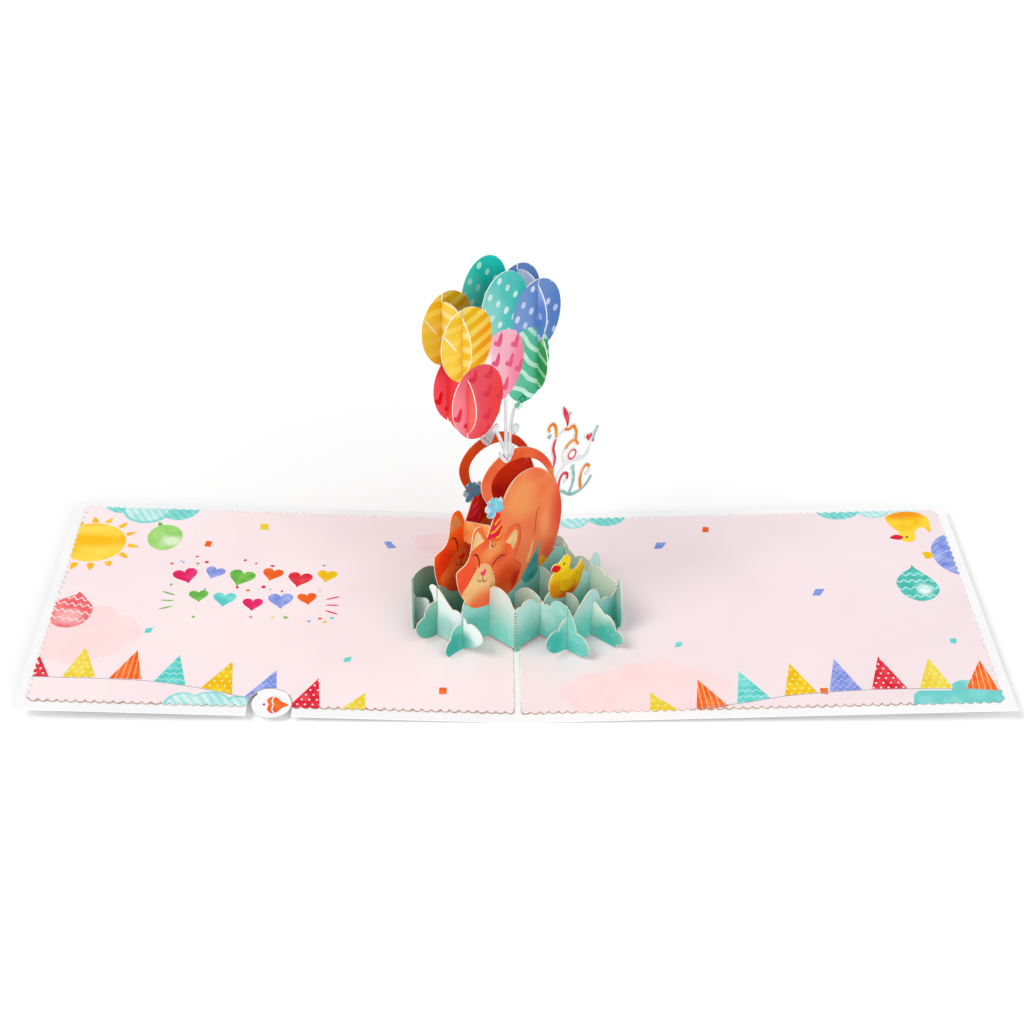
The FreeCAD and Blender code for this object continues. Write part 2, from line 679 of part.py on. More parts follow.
heart = outline([
    [(35.0, 68.4), (34.2, 70.6), (35.6, 71.2), (36.4, 69.6)],
    [(37.6, 70.8), (38.9, 69.8), (38.2, 66.6)],
])
streamer_faces += [Part.Face(plume), Part.Face(heart)]
curled = merged(streamer_faces).cut(disc(28.1, 65.2, 1.5))
streamer = blank("streamer", curled)
place = rising(-2)
place.Base = place.Base + place.Rotation.multVec(Vector(0, v["layer_step"], 0))
streamer.Placement = place
keep(streamer, "streamer")

doc.recompute()

# Every object must be sound before anything is written
for item in doc.Objects:
    state = set(item.State)
    if state & {"Invalid", "Error"}:
        raise RuntimeError("bad object " + item.Name)
for name, item in nodes:
    shape = item.Shape
    if shape.isNull() or not shape.isValid() or not shape.Solids:
        raise RuntimeError("bad shape " + name)
    shape.exportStep("parts/%s.step" % name)
    box = shape.BoundBox
    print("%-15s solids %d volume %8.1f  x %7.1f %7.1f  y %7.1f %7.1f  z %6.2f %6.2f" % (
        name, len(shape.Solids), shape.Volume, box.XMin, box.XMax, box.YMin, box.YMax, box.ZMin, box.ZMax))
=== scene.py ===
import math
import random
import bpy
import bmesh
from mathutils import Matrix, Vector
from mathutils.geometry import delaunay_2d_cdt


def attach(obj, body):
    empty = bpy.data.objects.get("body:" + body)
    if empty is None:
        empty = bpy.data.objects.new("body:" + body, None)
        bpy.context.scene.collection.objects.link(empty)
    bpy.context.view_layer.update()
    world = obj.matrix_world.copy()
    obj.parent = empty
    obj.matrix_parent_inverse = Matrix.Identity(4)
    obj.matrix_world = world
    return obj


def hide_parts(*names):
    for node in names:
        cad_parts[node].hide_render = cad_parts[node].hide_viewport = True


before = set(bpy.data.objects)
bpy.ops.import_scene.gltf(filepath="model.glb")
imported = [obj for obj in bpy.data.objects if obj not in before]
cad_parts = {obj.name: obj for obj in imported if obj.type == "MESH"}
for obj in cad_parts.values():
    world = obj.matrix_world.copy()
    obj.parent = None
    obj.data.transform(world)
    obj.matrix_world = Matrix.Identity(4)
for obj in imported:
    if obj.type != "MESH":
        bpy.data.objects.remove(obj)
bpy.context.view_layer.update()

MM = 0.001
PAPER = 0.35
SHEET = 0.25
NOTE = 0.2
POCKET = 0.25
GLUE = 0.01
RELIEF = 0.12
IMAGE_WIDTH = 1024
FOCAL_PIXELS = 1764.58
SENSOR_WIDTH = 36.0
# A face counts as the sheet's own above this cosine, and within this depth
FACING = 0.999
SAME_DEPTH = 0.05
# Points nearer to a fold line than this belong to it; points nearer than the weld are one
NEAR_FOLD = 0.2
WELD = 0.002

# The lattice and the card as they stand in the CAD model, in millimetres
CELL_X = 9.6
CELL_Y = 8.6
START = Vector((-0.6, -25.0, 0.0))
CELL = math.hypot(CELL_X, CELL_Y)
FOLD_HALF = 1.2
TILT = math.radians(1.98)
LAYER = 0.4
CAT_STEP = -10.7
BALLOON_STEP = -9.0
FIN_STEP = -9.3


class Plane:
    """A flat sheet's own axes in millimetres: s along it, z up it, depth towards the reader."""

    def __init__(self, origin, along, up):
        self.origin = Vector(origin)
        self.along = Vector(along).normalized()
        self.up = Vector(up).normalized()
        self.out = self.along.cross(self.up)

    def flat(self, point):
        offset = point / MM - self.origin
        return offset.dot(self.along), offset.dot(self.up), offset.dot(self.out)

    def place(self, s, z, depth):
        return (self.origin + self.along * s + self.up * z + self.out * depth) * MM


def rising(row):
    # Slats that run from front left to back right
    return Plane(START - Vector((0, row * CELL_Y, 0)), (CELL_X, CELL_Y, 0), (0, 0, 1))


def falling(row):
    # Slats that run from back left to front right
    return Plane(START + Vector((0, row * CELL_Y, 0)), (CELL_X, -CELL_Y, 0), (0, 0, 1))


def panel(side):
    # The left or right panel; s is measured from the middle of the fold
    along = Vector((math.cos(TILT), 0, side * math.sin(TILT)))
    return Plane(Vector((side * FOLD_HALF, 0, 0)) - along * side * FOLD_HALF, along, (0, 1, 0))


# Shader maths


def tone(red, green, blue):
    # A colour as it is seen, turned into the light values that the shader takes
    return tuple(c / 12.92 if c <= 0.04045 else ((c + 0.055) / 1.055) ** 2.4 for c in (red, green,
        blue)) + (1.0,)


class Flow:
    """A socket that can be used in sums."""

    def __init__(self, shop, socket):
        self.shop = shop
        self.socket = socket

    def sum(self, operation, other=None, clamp=False):
        values = [self] if other is None else [self, other]
        settings = {"operation": operation, "use_clamp": clamp}
        return self.shop.node("ShaderNodeMath", settings, dict(enumerate(values)))

    def __add__(self, other):
        return self.sum("ADD", other)

    __radd__ = __add__

    def __sub__(self, other):
        return self.sum("SUBTRACT", other)

    def __mul__(self, other):
        return self.sum("MULTIPLY", other)

    def __truediv__(self, other):
        return self.sum("DIVIDE", other)

    def sine(self):
        return self.sum("SINE")

    def root(self):
        return self.sum("SQRT")

    def held(self):
        return self.sum("ADD", 0.0, clamp=True)

    def between(self, low, high):
        # Rises smoothly from 0 at low to 1 at high
        inputs = {"Value": self, "From Min": low, "From Max": high, "To Min": 0.0, "To Max": 1.0}
        return self.shop.node("ShaderNodeMapRange", {"interpolation_type": "SMOOTHSTEP"}, inputs,
            "Result")


class Shop:
    """One material and the nodes that make it."""

    def __init__(self, name, rough=0.8):
        self.material = bpy.data.materials.new(name)
        self.material.use_nodes = True
        self.tree = self.material.node_tree
        self.surface = self.tree.nodes["Principled BSDF"]
        self.surface.inputs["Roughness"].default_value = rough
        self.surface.inputs["Specular IOR Level"].default_value = 0.15
        self.point = self.node("ShaderNodeTexCoord", None, {}, "Object")

    def node(self, kind, settings=None, inputs=None, output=0):
        made = self.tree.nodes.new(kind)
        for key, value in (settings or {}).items():
            setattr(made, key, value)
        for key, value in (inputs or {}).items():
            self.feed(made.inputs[key], value)
        return Flow(self, made.outputs[output])

    def feed(self, socket, value):
        if isinstance(value, Flow):
            self.tree.links.new(value.socket, socket)
        else:
            socket.default_value = value

    def mix(self, first, second, amount):
        # Two colours mixed; amount 0 gives the first
        return self.node("ShaderNodeMix", {"data_type": "RGBA"}, {0: amount, 6: first, 7: second},
            2)

    def noise(self, size, detail=2.0, spin=0.0):
        # Soft noise whose patches are about size millimetres across
        inputs = {"Vector": self.point, "Scale": 1 / (size * MM), "Detail": detail, "W": spin}
        return self.node("ShaderNodeTexNoise", {"noise_dimensions": "4D"}, inputs)

    def along(self, axis):
        # Distance in millimetres along a direction, from the origin
        inputs = {0: self.point, 1: tuple(Vector(axis) / MM)}
        return self.node("ShaderNodeVectorMath", {"operation": "DOT_PRODUCT"}, inputs, "Value")

    def flat(self, plane):
        # The point's place on a sheet
        s = self.along(plane.along) - plane.origin.dot(plane.along)
        z = self.along(plane.up) - plane.origin.dot(plane.up)
        return s, z

    def away(self, plane, spot):
        # Distance from a spot, 1 on its oval edge
        s, z = self.flat(plane)
        across = (s - spot[0]) / spot[2]
        height = (z - spot[1]) / spot[3]
        return (across * across + height * height).root()

    def finish(self, colour):
        # Paper fibre over the colour, in tone and in relief
        fibre = self.noise(0.35, 3.0, 4.0)
        self.feed(self.surface.inputs["Base Color"], colour)
        height = self.noise(0.8, 4.0, 9.0)
        inputs = {"Strength": RELIEF, "Distance": 0.05 * MM, "Height": height}
        self.feed(self.surface.inputs["Normal"], self.node("ShaderNodeBump", None, inputs))
        self.feed(self.surface.inputs["Roughness"], 0.72 + fibre * 0.16)
        return self.material


paints = {}


def wash(name, light, deep, size, fleck, high=0.6, low=0.3):
    # Watercolour wash: two tones that run into each other, with fine flecks
    shop = Shop(name)
    pool = shop.noise(size, 3.0).between(low, high)
    colour = shop.mix(tone(*light), tone(*deep), pool)
    speck = shop.noise(0.5, 2.0, 3.0).between(0.45, 0.75)
    darker = tuple(c * 0.82 for c in deep)
    colour = shop.mix(colour, tone(*darker), speck * fleck * 2)
    paints[name] = shop.finish(colour)


def stained(shop, plane, colour, stains, drift):
    # Soft stains laid over a colour, each one (s, z, wide, high, colour, strength)
    for s, z, wide, high, stain, strength in stains:
        away = shop.away(plane, (s, z, wide, high)) + drift
        colour = shop.mix(colour, tone(*stain), away.between(1.15, 0.3) * strength)
    return colour


def foliage(name, top, bottom, low, high, spin=0.0, plane=None, stains=()):
    # Bush print: pale at the top, deeper down the slat, with soft bands
    shop = Shop(name)
    height = shop.along((0, 0, 1))
    drift = shop.noise(6.0, 3.0, spin) - 0.5
    fade = (height + drift * 9.0).between(high, low)
    colour = shop.mix(tone(*top), tone(*bottom), fade)
    colour = stained(shop, plane, colour, stains, drift * 0.5)
    cloud = shop.noise(3.2, 3.0, spin + 5.0).between(0.52, 0.72)
    paler = tuple(min(1.0, c * 1.06 + 0.02) for c in top)
    colour = shop.mix(colour, tone(*paler), cloud * 0.22)
    paints[name] = shop.finish(colour)


def painted(name, plane, light, deep, stains, size=7.0, spin=0.0, fleck=0.12):
    # Painted form: a wash of two tones with soft stains and fine flecks
    shop = Shop(name)
    drift = shop.noise(size, 3.0, spin) - 0.5
    colour = shop.mix(tone(*light), tone(*deep), drift.between(-0.16, 0.16))
    colour = stained(shop, plane, colour, stains, drift * 0.5)
    speck = shop.noise(0.5, 2.0, spin + 3.0).between(0.48, 0.75)
    darker = tuple(c * 0.86 for c in deep)
    colour = shop.mix(colour, tone(*darker), speck * fleck)
    paints[name] = shop.finish(colour)


def hatched(name, light, deep):
    # Cloud brushed in soft slanting strokes
    shop = Shop(name)
    sway = shop.noise(9.0, 3.0, 2.0)
    strokes = (shop.along((0.9, 0.55, 0)) * 2.1 + sway * 7.0).sine().between(-0.7, 0.8)
    pool = shop.noise(7.0, 3.0, 6.0).between(0.35, 0.62)
    colour = shop.mix(tone(*light), tone(*deep), (strokes * 0.6 + pool * 0.45).held())
    paints[name] = shop.finish(colour)


def rim_paint():
    # The scalloped rim of the sheets: pale bumps with brown notches that are partly burn marks and
    # partly painted shadow under the scallops, and painted shadow that darkens the rim along the
    # front edge
    shop = Shop("scallop rim")
    burn_and_shadow = shop.noise(1.1, 2.0, 3.0).between(0.5, 0.6)
    # Painted shadow: darker towards the front edge, where the lifted scallops shade the cover
    front = shop.along((0, 1, 0)).between(-52.0, -61.0)
    colour = shop.mix(tone(1.0, 0.95, 0.94), tone(0.70, 0.55, 0.47),
        (burn_and_shadow * 0.4 + front * 0.7).held())
    paints["scallop rim"] = shop.finish(colour)


def plain_papers():
    shop = Shop("white card")
    cloud = shop.noise(30.0, 3.0, 1.0).between(0.3, 0.7)
    colour = shop.mix(tone(0.976, 0.976, 0.977), tone(0.958, 0.960, 0.963), cloud)
    fibre = shop.noise(0.6, 3.0, 2.0).between(0.55, 0.8)
    paints["white card"] = shop.finish(shop.mix(colour, tone(0.94, 0.943, 0.947), fibre * 0.35))
    shop = Shop("cut edge")
    burn = shop.noise(1.4, 2.0, 6.0).between(0.5, 0.75)
    colour = shop.mix(tone(0.95, 0.90, 0.80), tone(0.78, 0.66, 0.50), burn * 0.75)
    paints["cut edge"] = shop.finish(colour)
    shop = Shop("balloon edge")
    burn = shop.noise(1.4, 2.0, 6.0).between(0.55, 0.8)
    colour = shop.mix(tone(0.96, 0.94, 0.90), tone(0.85, 0.78, 0.68), burn * 0.6)
    paints["balloon edge"] = shop.finish(colour)
    shop = Shop("scallop edge")
    burn = shop.noise(2.0, 2.0, 6.0).between(0.4, 0.6)
    colour = shop.mix(tone(0.82, 0.74, 0.66), tone(0.56, 0.42, 0.33), burn)
    paints["scallop edge"] = shop.finish(colour)


def print_colours():
    wash("blush left", (0.985, 0.918, 0.925), (0.972, 0.898, 0.908), 40.0, 0.0, 0.7)
    wash("blush right", (0.968, 0.902, 0.912), (0.952, 0.885, 0.897), 40.0, 0.0, 0.7)
    wash("cloud pink", (0.992, 0.885, 0.885), (0.99, 0.862, 0.862), 12.0, 0.0, 0.7)
    for name, light, deep in (
        ("cloud pale", (0.86, 0.96, 0.95), (0.62, 0.88, 0.87)),
        ("cloud edge", (0.62, 0.88, 0.87), (0.50, 0.84, 0.83)),
        ("cloud deep", (0.58, 0.88, 0.86), (0.42, 0.81, 0.78)),
    ):
        hatched(name, light, deep)
    rim_paint()
    painted("sun yellow", panel(-1), (1.0, 0.87, 0.36), (1.0, 0.84, 0.27), [
        (-168.0, 36.4, 19.0, 5.4, (1.0, 0.74, 0.06), 0.95),
        (-177.0, 30.0, 8.0, 6.0, (1.0, 0.76, 0.10), 0.9),
        (-172.0, 47.5, 9.0, 2.4, (1.0, 0.76, 0.12), 0.9),
        (-155.0, 38.0, 4.0, 4.0, (1.0, 0.72, 0.06), 0.8),
    ], 6.0, 1.0, 0.0)
    painted("duck print", panel(1), (1.0, 0.85, 0.25), (0.98, 0.78, 0.12), [
        (160.0, 57.0, 12.0, 5.0, (0.95, 0.58, 0.06), 0.9),
    ], 5.0, 1.0, 0.02)
    wash("sun orange", (1.0, 0.80, 0.22), (0.99, 0.70, 0.08), 6.0, 0.0)
    painted("green balloon", panel(-1), (0.68, 0.87, 0.50), (0.58, 0.83, 0.42), [
        (-136.8, 37.4, 5.2, 4.6, (0.91, 0.96, 0.84), 0.85),
    ], 5.0, 1.0, 0.02)
    painted("coral balloon", panel(-1), (0.97, 0.50, 0.50), (0.94, 0.34, 0.37), [
        (-168.0, -12.0, 7.0, 6.5, (0.98, 0.70, 0.71), 0.95),
    ], 4.0, 1.0, 0.02)
    painted("teal balloon", panel(1), (0.36, 0.79, 0.73), (0.26, 0.72, 0.66), [
        (158.8, 6.6, 3.6, 4.6, (0.92, 0.98, 0.97), 1.0),
    ], 4.0, 2.0, 0.02)
    wash("red print", (0.93, 0.30, 0.34), (0.86, 0.12, 0.22), 4.0, 0.04)
    wash("orange print", (0.98, 0.50, 0.22), (0.94, 0.37, 0.11), 5.0, 0.04)
    wash("yellow print", (0.96, 0.88, 0.36), (0.93, 0.82, 0.22), 5.0, 0.03)
    wash("gold print", (0.97, 0.83, 0.15), (0.94, 0.74, 0.05), 5.0, 0.03)
    wash("teal print", (0.50, 0.88, 0.85), (0.34, 0.80, 0.77), 5.0, 0.03)
    wash("violet print", (0.66, 0.71, 0.93), (0.48, 0.56, 0.87), 5.0, 0.03)
    wash("violet deep", (0.44, 0.52, 0.84), (0.36, 0.44, 0.80), 3.0, 0.0)
    wash("cloud strip", (0.56, 0.87, 0.85), (0.44, 0.81, 0.79), 7.0, 0.0)
    wash("rose print", (0.93, 0.24, 0.50), (0.88, 0.12, 0.38), 4.0, 0.03)
    wash("leaf print", (0.55, 0.80, 0.35), (0.38, 0.70, 0.28), 4.0, 0.03)
    wash("chalk", (0.99, 0.97, 0.95), (0.95, 0.92, 0.90), 3.0, 0.0, 0.7)
    wash("chalk rose", (0.99, 0.92, 0.92), (0.98, 0.86, 0.86), 3.0, 0.0, 0.7)
    wash("chalk yellow", (0.99, 0.96, 0.72), (0.97, 0.93, 0.62), 3.0, 0.0, 0.7)
    wash("chalk orange", (1.0, 0.76, 0.56), (0.99, 0.66, 0.44), 3.0, 0.0, 0.7)
    wash("chalk teal", (0.78, 0.95, 0.94), (0.66, 0.91, 0.90), 3.0, 0.0, 0.7)
    wash("chalk violet", (0.86, 0.87, 0.99), (0.78, 0.80, 0.97), 3.0, 0.0, 0.7)
    wash("string line", (0.70, 0.71, 0.73), (0.58, 0.60, 0.63), 5.0, 0.0, 0.7)


def lattice_colours():
    # Lit and shaded copies of one mint for the front strip's wings: the left wing's paler mint is
    # painted light, and the right wing's deeper mint is painted shade, which the right leaf takes
    # too
    foliage("mint left", (0.86, 0.91, 0.88), (0.50, 0.84, 0.79), 3.0, 23.0)
    foliage("mint right", (0.72, 0.86, 0.83), (0.38, 0.74, 0.68), 3.0, 21.0, 1.0)
    foliage("mint pale", (0.93, 0.97, 0.96), (0.66, 0.88, 0.84), -2.0, 14.0, 2.0, falling(-2), [
        (-34.0, 8.0, 6.0, 7.0, (0.64, 0.86, 0.82), 0.85),
        (-23.8, 5.6, 5.2, 6.6, (0.38, 0.72, 0.67), 1.0),
    ])
    foliage("mint deep", (0.67, 0.82, 0.80), (0.34, 0.77, 0.71), 4.0, 22.0, 4.0, rising(2), [
        (18.0, 8.0, 8.0, 9.0, (0.20, 0.68, 0.63), 0.9),
    ])
    foliage("mint back", (0.72, 0.86, 0.80), (0.44, 0.74, 0.68), 4.0, 20.0, 6.0)
    # Dark mint for the left strip's back wing, which stands in shade inside the lattice: painted
    # shade
    foliage("moss", (0.52, 0.66, 0.58), (0.36, 0.64, 0.57), 4.0, 22.0, 7.0)
    foliage("sage", (0.85, 0.93, 0.86), (0.56, 0.80, 0.75), 3.0, 15.0, 8.0)
    foliage("sage front", (0.90, 0.97, 0.91), (0.56, 0.80, 0.75), 3.0, 16.0, 8.0, falling(2), [
        (27.0, 12.0, 19.0, 40.0, (0.60, 0.84, 0.80), 1.0),
        (38.0, 12.0, 18.0, 40.0, (0.50, 0.82, 0.78), 1.0),
        (25.0, 1.0, 18.0, 9.0, (0.34, 0.77, 0.72), 0.95),
    ])
    foliage("sage back", (0.88, 0.95, 0.88), (0.52, 0.76, 0.71), 4.0, 17.0, 9.0, falling(4), [
        (46.5, 6.0, 8.0, 9.0, (0.30, 0.73, 0.67), 1.0),
    ])
    foliage("mint cat", (0.58, 0.81, 0.77), (0.36, 0.76, 0.70), 4.0, 22.0, 3.0, rising(-2), [
        (-31.0, 6.0, 6.0, 8.0, (0.20, 0.64, 0.59), 0.9),
        (8.0, 24.0, 6.0, 6.0, (0.46, 0.68, 0.66), 0.6),
        (-20.0, 9.0, 7.0, 8.0, (0.36, 0.70, 0.65), 0.9),
    ])
    foliage("bush back", (0.56, 0.74, 0.66), (0.36, 0.66, 0.58), 6.0, 20.0, 9.0, rising(-4), [
        (-45.0, 8.0, 7.0, 9.0, (0.36, 0.70, 0.63), 0.9),
    ])
    wash("slot nick", (0.72, 0.56, 0.38), (0.60, 0.44, 0.28), 1.5, 0.0, 0.7)
    wash("blade", (0.30, 0.66, 0.64), (0.18, 0.55, 0.55), 4.0, 0.03, 0.7)


# Outlines for the print, in millimetres on the sheet


def oval(s, z, wide, high, turn=0.0, count=40):
    lean = math.radians(turn)
    points = []
    for index in range(count):
        angle = 2 * math.pi * index / count
        x, y = wide * math.cos(angle), high * math.sin(angle)
        points.append((s + x * math.cos(lean) - y * math.sin(lean),
            z + x * math.sin(lean) + y * math.cos(lean)))
    return points


def egg(s, z, wide, high, turn=0.0, count=56):
    # The balloon's outline: widest a little above its middle
    lean = math.radians(turn)
    points = []
    for index in range(count):
        angle = 2 * math.pi * index / count
        x = wide * math.sin(angle) * (1 + 0.06 * math.cos(angle))
        y = high * math.cos(angle)
        points.append((s + x * math.cos(lean) - y * math.sin(lean),
            z + x * math.sin(lean) + y * math.cos(lean)))
    return points


def curve(points, closed=True, steps=6):
    # A smooth line through the points
    count = len(points)
    spans = count if closed else count - 1
    path = []
    for index in range(spans):
        if closed:
            around = [points[(index + k) % count] for k in (-1, 0, 1, 2)]
        else:
            around = [points[min(max(index + k, 0), count - 1)] for k in (-1, 0, 1, 2)]
        for step in range(steps):
            t = step / steps
            weights = (
                -0.5 * t + t * t - 0.5 * t ** 3,
                1 - 2.5 * t * t + 1.5 * t ** 3,
                0.5 * t + 2 * t * t - 1.5 * t ** 3,
                -0.5 * t * t + 0.5 * t ** 3,
            )
            path.append(tuple(sum(w * p[axis] for w, p in zip(weights, around)) for axis in (0, 1)))
    if not closed:
        path.append(points[-1])
    return path


def stroke(points, width, ends=0.45, smooth=True):
    # A brush stroke along a line, thinner at its ends
    path = curve(points, False) if smooth and len(points) > 2 else list(points)
    if len(path) == 2:
        path = [tuple(path[0][k] + (path[1][k] - path[0][k]) * t / 4 for k in (0,
            1)) for t in range(5)]
    left, right = [], []
    last = len(path) - 1
    for index, (s, z) in enumerate(path):
        before, after = path[max(index - 1, 0)], path[min(index + 1, last)]
        ds, dz = after[0] - before[0], after[1] - before[1]
        size = math.hypot(ds, dz) or 1.0
        share = min(index, last - index) / max(last * 0.25, 1e-6)
        half = width / 2 * (ends + (1 - ends) * min(1.0, share))
        left.append((s - dz / size * half, z + ds / size * half))
        right.append((s + dz / size * half, z - ds / size * half))
    return left + right[::-1]


def heart(s, z, size, turn=0.0):
    lean = math.radians(turn)
    points = []
    for index in range(22):
        t = 2 * math.pi * index / 22
        x = 0.9 * math.sin(t) ** 3 * size
        y = sum(share * math.cos(k * t) for k, share in enumerate((0.81, -0.31, -0.12, -0.06),
            1)) * size
        points.append((s + x * math.cos(lean) - y * math.sin(lean),
            z + x * math.sin(lean) + y * math.cos(lean)))
    return points


def inset(loop, amount):
    # The same outline a little further in
    path = []
    count = len(loop)
    for index, (s, z) in enumerate(loop):
        (a, b), (c, d) = loop[index - 1], loop[(index + 1) % count]
        size = math.hypot(c - a, d - b) or 1.0
        path.append((s - (d - b) / size * amount, z + (c - a) / size * amount))
    return path


class Print:
    """What is printed on one side of a sheet: shapes laid over a ground colour."""

    def __init__(self, ground, back=None):
        self.ground = ground
        self.back = back
        self.shapes = []

    def add(self, points, paint, within=None):
        self.shapes.append((points, paint, within))
        return len(self.shapes) - 1


def shoelace(points):
    total = 0.0
    for (a, b), (c, d) in zip(points, points[1:] + points[:1]):
        total += a * d - b * c
    return total / 2


def cut_loops(node, plane, depth):
    # The cut outline of a CAD sheet, read from its face at that depth
    mesh = node.data
    edges = set()
    for polygon in mesh.polygons:
        if polygon.normal.dot(plane.out) < FACING:
            continue
        if abs(plane.flat(polygon.center)[2] - depth) > SAME_DEPTH:
            continue
        corners = []
        for index in polygon.vertices:
            s, z, _ = plane.flat(mesh.vertices[index].co)
            corners.append((round(s, 3), round(z, 3)))
        for a, b in zip(corners, corners[1:] + corners[:1]):
            if a != b:
                edges.add((a, b))
    border = {a: b for a, b in edges if (b, a) not in edges}
    loops = []
    while border:
        first = next(iter(border))
        loop = [first]
        at = border.pop(first)
        while at in border and at != first:
            loop.append(at)
            at = border.pop(at)
        if len(loop) > 2:
            loops.append(loop)
    return loops


class Piece:
    """A mesh being put together from flat sheets, with a paint for each face."""

    def __init__(self):
        self.points = []
        self.faces = []
        self.paints = []

    def face(self, corners, paint):
        self.faces.append(corners)
        self.paints.append(paint)

    def sheet(self, plane, middle, thickness, loops, printed, edge, fold=None):
        # One flat sheet: printed front, printed or plain back, and cut edges all round
        outer = [loop for loop in loops if shoelace(loop) > 0]
        holes = [loop[::-1] for loop in loops if shoelace(loop) < 0]
        outlines = outer + holes
        first = len(outlines)
        for points, _, _ in printed.shapes:
            outlines.append(points if shoelace(points) > 0 else points[::-1])
        spots, rings = [], []
        for outline in outlines:
            rings.append(list(range(len(spots), len(spots) + len(outline))))
            spots += [Vector(point) for point in outline]
        spots, _, triangles, _, _, inside = delaunay_2d_cdt(spots, [], rings, 0, 1e-4, True)
        kept = []
        for corners, where in zip(triangles, inside):
            where = set(where)
            if not any(index in where for index in range(len(outer))):
                continue
            if any(len(outer) <= index < first for index in where):
                continue
            kept.append((corners, self.choose(printed, where, first)))
        front, back = {}, {}
        for corners, _ in kept:
            for index in corners:
                if index in front:
                    continue
                s, z = spots[index]
                ahead = behind = s
                if fold and abs(s - fold[0]) < NEAR_FOLD:
                    ahead = fold[0] - fold[1]
                    behind = fold[0] + fold[1]
                front[index] = len(self.points)
                self.points.append(plane.place(ahead, z, middle + thickness / 2))
                back[index] = len(self.points)
                self.points.append(plane.place(behind, z, middle - thickness / 2))
        used = set()
        for corners, paint in kept:
            a, b, c = corners
            used.update(((a, b), (b, c), (c, a)))
            self.face([front[a], front[b], front[c]], paint)
            self.face([back[c], back[b], back[a]], printed.back or paint)
        for a, b in used:
            if (b, a) in used:
                continue
            if fold and all(abs(spots[k][0] - fold[0]) < NEAR_FOLD for k in (a, b)):
                continue
            self.face([front[b], front[a], back[a], back[b]], edge)

    def choose(self, printed, where, first):
        for index in range(len(printed.shapes) - 1, -1, -1):
            _, paint, within = printed.shapes[index]
            if first + index not in where:
                continue
            if within is not None and first + within not in where:
                continue
            return paint
        return printed.ground

    def make(self, name, node):
        mesh = bpy.data.meshes.new(name)
        mesh.from_pydata(self.points, [], self.faces)
        used = sorted(set(self.paints))
        for paint in used:
            mesh.materials.append(paints[paint])
        for polygon, paint in zip(mesh.polygons, self.paints):
            polygon.material_index = used.index(paint)
        work = bmesh.new()
        work.from_mesh(mesh)
        bmesh.ops.remove_doubles(work, verts=work.verts, dist=WELD * MM)
        work.to_mesh(mesh)
        work.free()
        mesh.update()
        made = bpy.data.objects.new(name, mesh)
        bpy.context.scene.collection.objects.link(made)
        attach(made, "root")
        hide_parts(node)
        return made


def dress(name, node, plane, printed, edge="cut edge", middle=0.0, thickness=PAPER):
    # Replaces a flat CAD sheet with the same sheet, printed
    piece = Piece()
    loops = cut_loops(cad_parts[node], plane, middle + thickness / 2)
    piece.sheet(plane, middle, thickness, loops, printed, edge)
    return piece.make(name, node)


def dress_folded(name, node, wings):
    # Replaces a folded strip; each wing says its plane, print, fold line and which side is outside
    piece = Piece()
    mitre = PAPER / 2 * math.tan(math.atan2(CELL_Y, CELL_X))
    for plane, printed, fold, away, outside in wings:
        loops = cut_loops(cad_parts[node], plane, PAPER / 2)
        piece.sheet(plane, 0.0, PAPER, loops, printed, "cut edge", (fold, away * outside * mitre))
    return piece.make(name, node)


# Lattice


def duck_print(printed):
    printed.add(curve([(17.0, 23.1), (17.3, 19.4), (19.4, 16.0), (22.5, 14.4), (26.0, 13.7),
        (30.0, 14.0), (32.9, 16.8), (34.3, 21.3), (36.5, 25.0), (34.5, 30.0), (28.5, 36.0),
    (16.0, 34.5), (14.5, 28.0)]), "duck yellow")
    printed.add(curve([(26.9, 21.1), (22.1, 23.2), (21.8, 20.6), (23.2, 17.5), (25.9, 16.2),
        (29.3, 16.7), (30.9, 19.9), (31.6, 23.0)]), "duck wing")
    printed.add(stroke([(31.6, 23.0), (30.9, 19.9), (29.3, 16.9), (25.9, 16.2), (23.2, 17.5),
        (21.8, 20.6), (22.1, 23.2)], 0.3), "duck line")
    printed.add(curve([(17.9, 31.6), (17.7, 29.8), (18.9, 28.6), (20.6, 27.6), (22.4, 28.0),
        (22.5, 29.2), (21.3, 30.4), (19.6, 31.3)]), "duck bill")
    printed.add(oval(24.3, 29.7, 0.42, 0.62, 0, 16), "ink")


def duck_colours():
    painted("duck yellow", rising(0), (0.97, 0.83, 0.10), (0.94, 0.76, 0.04), [
        (24.5, 29.5, 4.5, 5.0, (0.98, 0.86, 0.12), 0.8),
        (19.0, 19.5, 4.5, 6.0, (0.92, 0.54, 0.0), 0.9),
        (27.0, 14.0, 10.0, 5.8, (0.86, 0.35, 0.0), 1.0),
        (34.0, 20.0, 2.6, 7.0, (0.84, 0.60, 0.04), 0.8),
    ], 4.0)
    wash("duck wing", (0.97, 0.76, 0.04), (0.93, 0.66, 0.01), 4.0, 0.05, 0.7)
    wash("duck line", (0.72, 0.46, 0.04), (0.62, 0.38, 0.03), 3.0, 0.0, 0.7)
    wash("duck bill", (0.92, 0.10, 0.08), (0.82, 0.03, 0.05), 2.0, 0.02, 0.7)
    wash("ink", (0.22, 0.12, 0.10), (0.15, 0.08, 0.08), 2.0, 0.0, 0.7)


def nicks(printed, cells, level=9.6):
    # Small burnt nicks where the half slots end
    for cell in cells:
        printed.add(oval(cell * CELL - 0.45, level, 0.22, 0.55, 0, 10), "slot nick")


